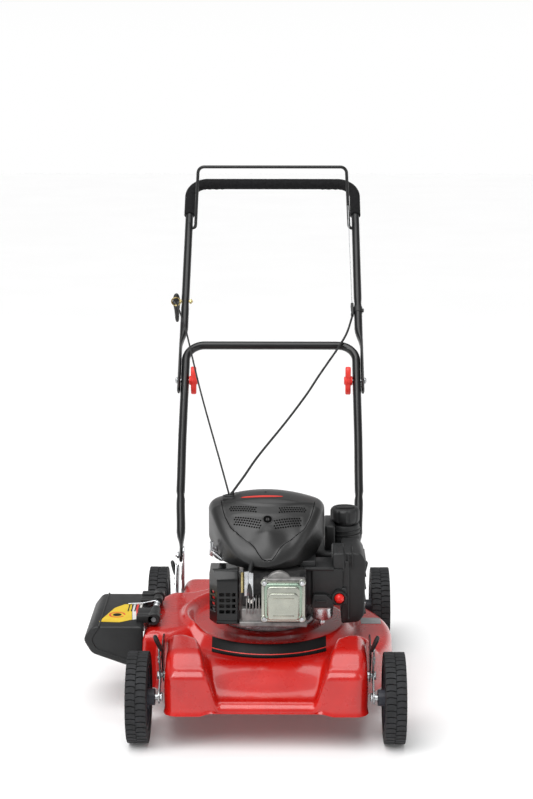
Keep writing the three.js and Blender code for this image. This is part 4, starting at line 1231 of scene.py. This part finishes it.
def make_clamp():
    """A moulded cable clamp with a steel strap, bolted to the right leg."""
    place = Matrix.Translation(on_handle(200.2, CLAMP_S, 2)) @ Matrix.Rotation(HANDLE_ANGLE, 4, "X")
    body = turned(block((-3.5, -19, -6), (3.5, 19, 6), 1.6, 3), place)
    screw = on_handle(0, CLAMP_S)
    strap = turned(painted(block((-4.3, -13, -2.4), (-3.2, 13, 2.4), 0.4), 1), place)
    shank = painted(rod("x", 202, 226, 2.5, screw, 14), 1)
    head = hex_head("x", 224.9, 229, 9, screw)
    band = tube([on_handle(UPPER_LEG_X, CLAMP_S + s) for s in (-9, 9)], 11, 24, HANDLE_NORMAL)
    piece("clamp_moulding", joined(body, strap, shank, head, band), [BLACK_PLASTIC, ZINC],
          "upper_handle", ["cable_clamp"])


# ---- engine ----

HEAD_LEFT_X = -8  # left side of the machined head; the plug's recess is beyond it
# The turned crankcase with its flange, and the machined rim let into the flange: radius, height.
CRANKCASE = (
    (0, 168.3), (97, 168.3), (98, 169.3), (98, 175), (95, 178), (86, 178.6), (84, 182), (84, 250),
    (80, 258), (70, 262), (59, 263), (58, 268), (58, 330), (55, 332), (12.6, 332), (12.6, 300),
    (0, 300),
)
FLANGE_RIM = ((90, 172), (98.6, 172), (98.8, 173), (98.8, 177.6), (97, 179.4), (90, 179.4))
FLANGE_BOLTS = 6
FLANGE_RIBS = 12
FINS = 9
FIN_PITCH = 9


def make_engine_block():
    """The casting: crankcase, flange, cylinder with its fins, and head."""
    shapes = [
        lathe(CRANKCASE, "z", sides=96),
        block((CYLINDER_X - 38, -170, 226), (CYLINDER_X + 38, -50, 306), 4, 3),
        block((HEAD_LEFT_X, HEAD_Y, 218), (76, -168, 308), 4, 3),
        block((-50, HEAD_Y, 214), (HEAD_LEFT_X + 4, -164, 246), 3, 3),
        block((-54, HEAD_Y - 3, 209), (80, HEAD_Y + 16, 220), 2.5, 3),
        rod("y", HEAD_Y + 3, -168, 26, (24, 0, 295), 40, 2),
        rod("z", 177, 236, 14, (-72, 74, 0), 24, 1),
    ]
    for k in range(5):
        x = -41 + k * 6.2
        shapes.append(block((x, HEAD_Y - 2, 236), (x + 2.6, -164, 268), 0.8))
    shapes.append(painted(lathe(FLANGE_RIM, "z", sides=96, close=True), 2))
    for k in range(FLANGE_BOLTS):
        at = (*polar((0, 0), 90, 20 + 360 * k / FLANGE_BOLTS), 0)
        shapes.append(hex_head("z", 177, 184, 11, at))
    # Ribs between the crankcase and its flange.
    for angle in angles_round(FLANGE_RIBS, 0.5):
        rib = block((82, -1.8, 177), (94, 1.8, 200), 1)
        shapes.append(turned(rib, Matrix.Rotation(angle, 4, "Z")))
    # Cooling fins of the cylinder, seen in the recess beside the head and from the sides, in the dark iron
    # finish as painted shade of the recess.
    fins = []
    for k in range(FINS):
        y = -164 + k * FIN_PITCH
        fins.append(painted(block((-48, y, 222), (78, y + 2.6, 308), 0.8), 1))
    piece("engine_casting", joined(*shapes, *fins), [CAST_ALUMINIUM, CAST_IRON_AND_SHADE, ZINC], "chassis",
          ["engine_block"])


def rounded_square(centre, half, corner, lower=0.0):
    """Outline in the XZ plane of a square with round corners, and its top edge set lower."""
    x, z = centre
    top = z + half - lower
    points = [(x + half, top), (x - half, top), (x - half, z - half), (x + half, z - half)]
    return soften(points, corner, 6)


COVER_X = CYLINDER_X + 1.5
COVER_Z = CYLINDER_Z - 4
COVER_BOLTS = 37  # from the cover's middle, both across and up


def make_valve_cover():
    """A pressed cover: a flange with four bolts, a stepped dome and a raised panel."""
    centre = (COVER_X, COVER_Z)
    shapes = [
        prism(rounded_square(centre, 43, 12, lower=3), "y", -189.5, -185.3, 1.2),
        # The middle step takes the darker green zinc: the plating's green tint, and painted shade.
        painted(prism(rounded_square(centre, 37.5, 12), "y", -196.5, -186, 3, 4), 2),
        prism(rounded_square(centre, 32.5, 10), "y", -201, -190, 3, 4),
    ]
    panel = [(2, 229), (63, 229), (63, 277), (58, 284), (7, 284), (2, 277)]
    shapes.append(prism(soften(panel, 6), "y", -205.4, -196, 2.6, 4))
    for z in (238, 274):
        shapes.append(block((12, -206.6, z - 1.2), (54, -204, z + 1.2), 0.9))
    bolts = []
    for sx in (-1, 1):
        for sz in (-1, 1):
            at = (COVER_X + COVER_BOLTS * sx, 0, COVER_Z + COVER_BOLTS * sz)
            shapes.append(rod("y", -190.6, -187, 7.4, at, 24, 0.8))
            bolts.append(painted(hex_head("y", -195, -190.2, 9, at), 1))
            bolts.append(painted(rod("y", -196.6, -194, 3, at, 16), 1))
    piece("valve_cover_pressing", joined(*shapes, *bolts), [COVER_ZINC, ZINC, COVER_TINT_AND_SHADE], "chassis",
          ["valve_cover"])


def make_spark_plug():
    """The spark plug and its lead, behind a folded bright heat shield."""
    at = (-32, HEAD_Y + 20, 262)
    body = lathe([(0, -8), (9, -8), (9, -1), (0, -1)], "y", at, 6)
    neck = lathe([(0, -20), (5, -20), (6, -16), (6, -8), (0, -8)], "y", at, 20)
    route = [(-32, -180, 262), (-31, -186, 276), (-34, -176, 318), (-30, -140, 330)]
    lead = tube(soften(route, 8, closed=False), 4, 12)
    shield = [
        turned(block((-5, -1, -25), (5, 1, 25), 0.6), place_turn((-39.5, -183, 297), 24)),
        turned(block((-5, -1, -24), (5, 1, 24), 0.6), place_turn((-31, -184.5, 296), -22)),
        painted(turned(block((-3, -0.8, -22), (3, 0.8, 20), 0.5), place_turn((-48, -178, 299), 10)), 3),
    ]
    shape = joined(body, painted(neck, 1), painted(lead, 2), *shield)
    piece("spark_plug_and_shield", shape, [ZINC, LABEL_WHITE, CORD_BLACK, GOLD_ZINC], "chassis",
          ["spark_plug"])


# Cooling slots of the muffler guard: start and end of each column on the front face, the pitch
# of the rows, and a slot's height.
SLOT_COLUMNS = ((-94.5, -84), (-81.5, -72), (-69.5, -61))
SLOT_ROWS = 4
SLOT_PITCH = 11.8
SLOT_HEIGHT = 7.4


def make_muffler_guard():
    """A pressed guard with a sloping top, a chamfered corner and rows of cooling slots."""
    side = [(-172, 209), (-172, 300), (-157, 318), (-146, 318), (-140, 306), (-70, 306), (-70, 209)]
    body = prism(soften(side, 5), "x", -115, -57, bevel=2, segments=3)
    corner = [(-124, -182), (-98, -182), (-98, -173), (-116, -138), (-124, -138)]
    body = carve(body, prism(corner, "z", 190, 340, 0))
    hollow = [(-112, -60), (-112, -137), (-96, -169), (-60, -169), (-60, -60)]
    body = carve(body, prism(hollow, "z", 212, 302, 1))
    cutters = []
    for row in range(SLOT_ROWS):
        low = 231.5 + row * SLOT_PITCH
        high = low + SLOT_HEIGHT
        for x0, x1 in SLOT_COLUMNS:
            cutters.append(block((x0, -180, low), (x1, -160, high), 1.2))
        slot = block((-11, -6, 0), (11, 6, SLOT_HEIGHT), 1.2)
        cutters.append(turned(slot, place_turn((-107, -155.5, low), -63)))
        for y in (-106, -88):
            cutters.append(block((-122, y, low), (-106, y + 13, high), 1.2))
    body = carve(body, joined(*cutters))
    hem = block((-100, -173.6, 210), (-58, -171, 217), 1)
    piece("muffler_guard_pressing", joined(body, hem), [BLACK_PAINT], "chassis", ["muffler_guard"],
          sharp=25)


def make_muffler():
    """A welded can behind the guard, with a rolled seam round its middle."""
    outline = [(-105, -90), (-105, -138), (-96, -157), (-64, -157), (-64, -90)]
    can = prism(soften(outline, 5), "z", 222, 298, bevel=4, segments=3)
    outline = [(-106.5, -88.5), (-106.5, -139), (-97, -158.5), (-62.5, -158.5), (-62.5, -88.5)]
    seam = prism(soften(outline, 5), "z", 258.5, 261.5, bevel=1)
    piece("muffler_can", joined(can, seam), [CAST_IRON_AND_SHADE], "chassis", ["muffler"])


def make_brake_linkage():
    """The bright bracket, rod and spring of the engine brake, below the shroud's left side."""
    outline = [(-84, 306), (-84, 318), (-96, 324), (-104, 336), (-112, 338), (-109, 326),
               (-100, 316), (-98, 306)]
    bracket = prism(soften(outline, 2), "y", -60, -57.5, 0.5)
    strip = prism(soften([(-118, 322), (-111, 318), (-109, 350), (-116, 350)], 1), "y", -72, -66, 0.5)
    route = [(-115, -76, 350), (-113, -76, 330), (-104, -76, 318), (-92, -76, 312)]
    bar = tube(soften(route, 5, closed=False), 1.8, 8)
    coil = helix((-112, -78, 334), (-92, -78, 316), (4, 0, 0), (0, 4, 0), 9, 12)
    nut = hex_head("y", -66, -60, 8, (-97, 0, 314))
    piece("brake_linkage", joined(bracket, strip, bar, tube(coil, 1.1, 6), nut), [ZINC], "chassis")


# ---- blower shroud ----

SHROUD_SEGMENTS = 320
SHROUD_WALL_ROWS = 12
SHROUD_EDGE = 10  # radius of the rolled edge between the shroud's top and its wall
CREASE_Y = -59
INSERT_X = 5  # the insert's middle, from the shroud's middle
# Half width of the insert, and how far back, from its widest place to the nose.
SEAM = (
    (96, -14), (92, -50), (86, -72), (79, -86), (72, -97), (52, -111), (36, -121), (25, -132),
    (18, -140), (9, -146), (0, -147),
)


def shroud_outline(angle):
    """Plan radius of the blower shroud: round at the back, drawn out to the front."""
    return SHROUD_RADIUS + 34 * max(-math.sin(angle), 0) ** 3 + 4 * max(math.cos(angle), 0) ** 2


def seam_half(y):
    """Half width of the front insert at a distance along the shroud."""
    for (wide, back), (narrow, front) in zip(SEAM, SEAM[1:]):
        if front <= y <= back:
            return lerp(narrow, wide, (y - front) / (back - front))
    return SEAM[0][0] if y > SEAM[0][1] else 0.0


def shroud_height(x, y):
    """Height of the shroud's outer face above the ground, x from the shroud's middle."""
    angle = math.atan2(y, x)
    spread = math.hypot(x, y) / shroud_outline(angle)
    fall = 80 * clamp((-40 - y) / 110) ** 1.4
    height = SHROUD_TOP_Z - 4 - 24 * spread ** 2 - fall - 10 * clamp(y / 100) ** 2
    # The insert is set down inside its seam, in front of a curved crease.
    x -= INSERT_X
    crease = CREASE_Y + 28 * (x / 88) ** 2
    inside = ease(-3, 3, seam_half(y) - abs(x)) if y < SEAM[0][1] else 0.0
    height -= 2.6 * ease(crease + 3, crease - 3, y) * inside
    # A nose stands up in the middle of its front end.
    nose = math.exp(-(x / lerp(14, 26, ease(-95, -146, y))) ** 2)
    height += 6 * nose * ease(-92, -112, y) * ease(-150, -132, y)
    # A step between the two rows of vent patches, and a hollow on each side of the nose.
    height -= 1.5 * ease(-78, -81, y - 0.1 * abs(x)) * inside * ease(74, 64, abs(x))
    hollow = math.exp(-((abs(x) - 40) / 17) ** 2) * math.exp(-((y + 112) / 14) ** 2)
    height -= 4 * hollow
    height += 1.4 * inside * ease(-100, -112, y)
    # The edge rolls over into the wall.
    edge = (1 - spread) * shroud_outline(angle)
    round_off = clamp(edge, 0, SHROUD_EDGE)
    return height - SHROUD_EDGE + math.sqrt(SHROUD_EDGE ** 2 - (SHROUD_EDGE - round_off) ** 2)


def shroud_rim(angle):
    """Lower edge: low at the front, raised at the sides and the back."""
    return lerp(346, 314, ease(0.1, 0.6, -math.sin(angle)))


def shroud_rows(inset):
    """Rings of points over the shroud's top and down its wall, a little inside its skin."""
    angles = angles_round(SHROUD_SEGMENTS)
    fractions = [0.02 + 0.9 * k / 60 for k in range(61)]
    fractions += [0.92 + 0.08 * math.sin(math.pi / 2 * k / 10) for k in range(1, 11)]
    rows = []
    for fraction in fractions:
        row = []
        for angle in angles:
            radius = (shroud_outline(angle) - inset) * fraction
            x, y = radius * math.cos(angle), radius * math.sin(angle)
            row.append((x + SHROUD_X, y, shroud_height(x, y) - inset))
        rows.append(row)
    for k in range(1, SHROUD_WALL_ROWS + 1):
        share = k / SHROUD_WALL_ROWS
        row = []
        for angle in angles:
            edge = shroud_outline(angle) - inset
            taper = 9 * ease(0.1, 0.6, -math.sin(angle)) * share ** 1.5
            x, y = (edge - taper) * math.cos(angle), (edge - taper) * math.sin(angle)
            top = shroud_height(edge * math.cos(angle), edge * math.sin(angle)) - inset
            row.append((x + SHROUD_X, y, lerp(top, shroud_rim(angle), share)))
        rows.append(row)
    return rows


def on_insert(x, y, lift=0.0):
    """A point on the shroud's outer face, x from the insert's middle."""
    x += INSERT_X
    return Vector((x + SHROUD_X, y, shroud_height(x, y) + lift))


def place_on_insert(x, y):
    """A move to the insert's face, after a tilt that turns the Z axis out of the face."""
    step = 2.0
    along_x = on_insert(x + step, y) - on_insert(x - step, y)
    along_y = on_insert(x, y + step) - on_insert(x, y - step)
    out = along_x.cross(along_y).normalized()
    return Matrix.Translation(on_insert(x, y)) @ out.to_track_quat("Z", "Y").to_matrix().to_4x4()


def make_shroud():
    """The moulded shroud, the seam round its front insert, and what is on it."""
    shell = skin(shroud_rows(0) + shroud_rows(SKIN)[::-1], close=True)
    piece("shroud_moulding", shell, [SHROUD_PLASTIC], "chassis", ["blower_shroud"])
    # The seam round the insert is a thin dark tube: painted shade in the gap at the insert's edge.
    half = smooth_route([(x, y, 0) for x, y in SEAM], 10)
    seam = [(-point.x, point.y) for point in half] + [(point.x, point.y) for point in reversed(half[:-1])]
    groove = tube([on_insert(x, y, -0.1) for x, y in seam], 0.8, 8)
    piece("shroud_seam", groove, [PAINTED_HOLE_SHADE], "chassis")
    make_vents()
    make_shroud_fittings()


VENT_PITCH = 5.0
VENT_ROW_PITCH = 4.3
# Patches of vents on the right: inner and outer side, back, front, and the slope of the rows.
VENT_PATCHES = ((24, 82, -63, -73, 0.21), (14, 70, -87, -100.5, 0.22))
VENT_MARGIN = 6  # kept clear inside the seam


def make_vents():
    """Four patches of small round holes in the front insert, each a dark cup of painted shade."""
    holes = []
    for inner, outer, back, front, slope in VENT_PATCHES:
        for row in range(int((back - front) / VENT_ROW_PITCH) + 1):
            for column in range(int((outer - inner) / VENT_PITCH)):
                x = inner + VENT_PITCH * (column + 0.5 * (row % 2))
                y = back - VENT_ROW_PITCH * row + slope * (x - inner)
                if x < seam_half(y) - VENT_MARGIN:
                    holes += [vent_hole(-x, y), vent_hole(x, y)]
    piece("shroud_vents", joined(*holes), [PAINTED_HOLE_SHADE], "chassis")


def vent_hole(x, y):
    """Painted shade for the mouth of one hole: a dark cup just proud of the shroud's face, which is not
    cut.
    """
    cup = lathe([(0, -0.6), (1.95, -0.5), (1.95, 0.3), (1.7, 0.36), (0, 0.3)], "z", sides=8)
    return turned(cup, place_on_insert(x, y))


SCREW_Y = -85


def make_shroud_fittings():
    """The screw recess, the cord inlet, and a plain red flash on the dome."""
    # The recess's mouth is a dark disc: painted shade in the hole round the screw.
    mouth = lathe([(0, -2), (8.8, -2), (8.8, 0.5), (0, 0.5)], "z", sides=36)
    lip = [(8.6, -2), (10.8, -2), (10.8, 0.2), (10, 0.9), (8.9, 0.9), (8.6, 0.5)]
    lip = painted(lathe(lip, "z", sides=36, close=True), 2)
    screw = painted(rod("z", 0.3, 0.9, 3.6, (0, 0, 0), 20, 0.2), 1)
    slot = block((-0.6, -3.4, 0.6), (0.6, 3.4, 1), 0.1)
    piece("shroud_screw", turned(joined(mouth, lip, screw, slot), place_on_insert(0, SCREW_Y)),
          [PAINTED_HOLE_SHADE, CAST_IRON_AND_SHADE, SHROUD_PLASTIC], "chassis")

    inlet = [block((-93, -18, 415), (-65, 8, 428), 2.4, 3), block((-88, -12, 424), (-69, 2, 431), 2, 3)]
    collar = rod("z", 424, 436, 4.2, (-73, -6, 0), 20, 0.8)
    piece("cord_inlet", joined(*inlet, collar), [BLACK_PLASTIC], "chassis")

    def flash(u, v):
        """A point of the flash: an ellipse that is bent along the dome."""
        across, along = 2 * u - 1, 2 * v - 1
        x = -12 + 43 * across
        bow = -31 + 0.08 * x + 0.003 * x * x
        return on_insert(x, bow + 5 * along * math.sqrt(max(0.0, 1 - across * across)), 0.5)
    piece("shroud_flash", sticker(48, 8, flash, 0.4), [RED_PLASTIC], "chassis")


# ---- fuel, air and mixture ----

TANK_NECK = (
    (0, 296), (33, 296), (33, 318), (31, 322), (31, 340), (29, 344), (22, 345), (22, 351), (0, 351),
)
FUEL_CAP = (
    (28, 351.4), (30.4, 352), (31, 354), (31, 372), (29.4, 376), (26.5, 378.6), (22, 379.2),
    (20, 378), (10, 377.4), (0.01, 377.2),
)
FLUTES = 9  # round the cap's skirt
FLUTE_DEPTH = 1.3


def make_fuel_tank():
    """The tank with its ringed neck and a raised part beside it."""
    at = (CAP_AT.x, CAP_AT.y, 0)
    shapes = [
        block((92, 24, 240), (196, 150, 300), 10, 4),
        lathe(TANK_NECK, "z", at, 48),
        block((118, 40, 296), (140, 128, 352), 5, 3),
    ]
    for k in range(4):
        z = 304 + 9 * k
        shapes.append(lathe([(30, z), (33.6, z + 1), (33.6, z + 3), (30, z + 4)], "z", at, 48, close=True))
    piece("tank_moulding", joined(*shapes), [BLACK_PLASTIC], "chassis", ["fuel_tank"])


def make_fuel_cap():
    """A screw cap with a fluted skirt and a dished top."""
    rows = []
    for radius, height in FUEL_CAP:
        depth = FLUTE_DEPTH * ease(352, 354, height) * ease(378, 374, height)
        row = []
        for angle in angles_round(144):
            reach = radius - depth * clamp(math.cos(FLUTES * angle) * 2.2 - 1.0)
            row.append((CAP_AT.x + reach * math.cos(angle), CAP_AT.y + reach * math.sin(angle), height))
        rows.append(row)
    cap = skin(rows, capped=True)
    bar = block((CAP_AT.x - 20, CAP_AT.y - 4, 376), (CAP_AT.x + 20, CAP_AT.y + 4, 380.6), 1.6, 3)
    piece("fuel_cap_moulding", joined(cap, bar), [BLACK_PLASTIC], "fuel_cap", ["fuel_cap"])


PRIMER_AT = (145, 0, 247)
PRIMER_BOSS = (
    (10.4, -104), (10.4, -120), (11.6, -121.6), (14.6, -121), (15.6, -118), (16.6, -108), (16.6, -104),
)
PRIMER_BULB = (
    (9.8, -106), (9.8, -119), (9.4, -123), (8, -126.6), (5, -129), (2, -129.8), (1.6, -129.2),
    (0, -129),
)


def make_air_filter():
    """Front panel, side housing with ribs, a ledge, and the primer's boss with its bulb."""
    shapes = [
        block((90, -112, 250), (152, -30, 305), 2, 3),
        block((74, -114, 302), (134, -40, 309), 2, 3),
        block((131, -108, 296), (156, -30, 337), 4, 3),
        block((77, -100, 226), (92, -60, 303), 2),
        block((64, -104, 298), (98, -44, 320), 3, 3),
    ]
    side = [(150, 186), (186, 190), (197, 206), (198, 318), (188, 334), (152, 336)]
    shapes.append(prism(soften(side, 6), "y", -100, 14, bevel=5, segments=3))
    shapes.append(block((150, -106, 196), (166, -90, 320), 3, 3))
    for k in range(5):
        x = 140 + 7.4 * k
        shapes.append(block((x, -106, 306 + 5 * (k % 2)), (x + 3, -60, 338 - 4 * (k % 2)), 1))
    for z in (206, 232, 258, 284, 310):
        shapes.append(block((190, -96, z), (200, 8, z + 3), 1))
    shapes.append(lathe(PRIMER_BOSS, "y", PRIMER_AT, 48, close=True))
    shapes.append(block((133.6, -112, 229), (160, -60, 266), 3, 3))
    piece("air_filter_moulding", joined(*shapes), [BLACK_PLASTIC], "chassis", ["air_filter_housing"])
    piece("primer_rubber", lathe(PRIMER_BULB, "y", PRIMER_AT, 40), [RED_RUBBER], "primer",
          ["primer_bulb"])


def make_carburettor():
    """Black body, choke plate and lever, a bright rim, and the float bowl with its drain screw."""
    middle = (111, -94, 0)
    rim = [(0, 222), (22.5, 222), (23.2, 223), (23.2, 227), (22, 228), (0, 228)]
    bowl = [(0, 197), (16, 197), (20.5, 199), (22, 203), (22, 222), (0, 222)]
    choke = [(88, 226), (134, 226), (134, 240), (120, 254), (92, 254)]
    black = [
        block((90, -112, 228), (133, -62, 252), 3, 3),
        block((112, -109, 238), (136, -64, 258), 2, 3),
        prism(soften(choke, 5), "y", -120, -111, 1.6, 3),
        block((96, -123, 238), (118, -119, 243), 1.4),
    ]
    plated = [
        lathe(bowl, "z", middle, 48),
        rod("z", 190, 197, 5, middle, 20),
        hex_head("z", 183, 192, 10, middle),
    ]
    shape = joined(lathe(rim, "z", middle, 48), painted(joined(*black), 1), painted(joined(*plated), 2))
    piece("carburettor_parts", shape, [FLANGE_ALUMINIUM, BLACK_PLASTIC, ZINC], "chassis",
          ["carburettor"])


# ---- pieces that keep their CAD shape ----

# CAD node: its finish.
KEPT = {
    "crankshaft": STEEL,
    "flywheel": CAST_IRON_AND_SHADE,
    "blade_hub": CAST_IRON_AND_SHADE,
    "blade": STEEL,
    "blade_bolt": ZINC,
    "flywheel_brake": STEEL,
    "oil_cap": BLACK_PLASTIC,
    "chute_hinge_pin": ZINC,
}


def finish_kept_nodes():
    """Give each kept node its finish."""
    for name, material in KEPT.items():
        node = frame["nodes"][name]
        node.data.materials.clear()
        node.data.materials.append(material)


# ---- assembly ----

make_camera()
make_floor()
make_walls()
make_lights()
bpy.context.scene.view_settings.view_transform = "Standard"
make_cords()
make_deck()
make_labels()
make_flap()
make_wheels()
make_lower_handle()
make_upper_handle()
make_grip()
make_bail()
make_fasteners()
make_guide()
make_starter_handle()
make_clamp()
make_engine_block()
make_valve_cover()
make_spark_plug()
make_muffler_guard()
make_muffler()
make_brake_linkage()
make_shroud()
make_fuel_tank()
make_fuel_cap()
make_air_filter()
make_carburettor()
finish_kept_nodes()
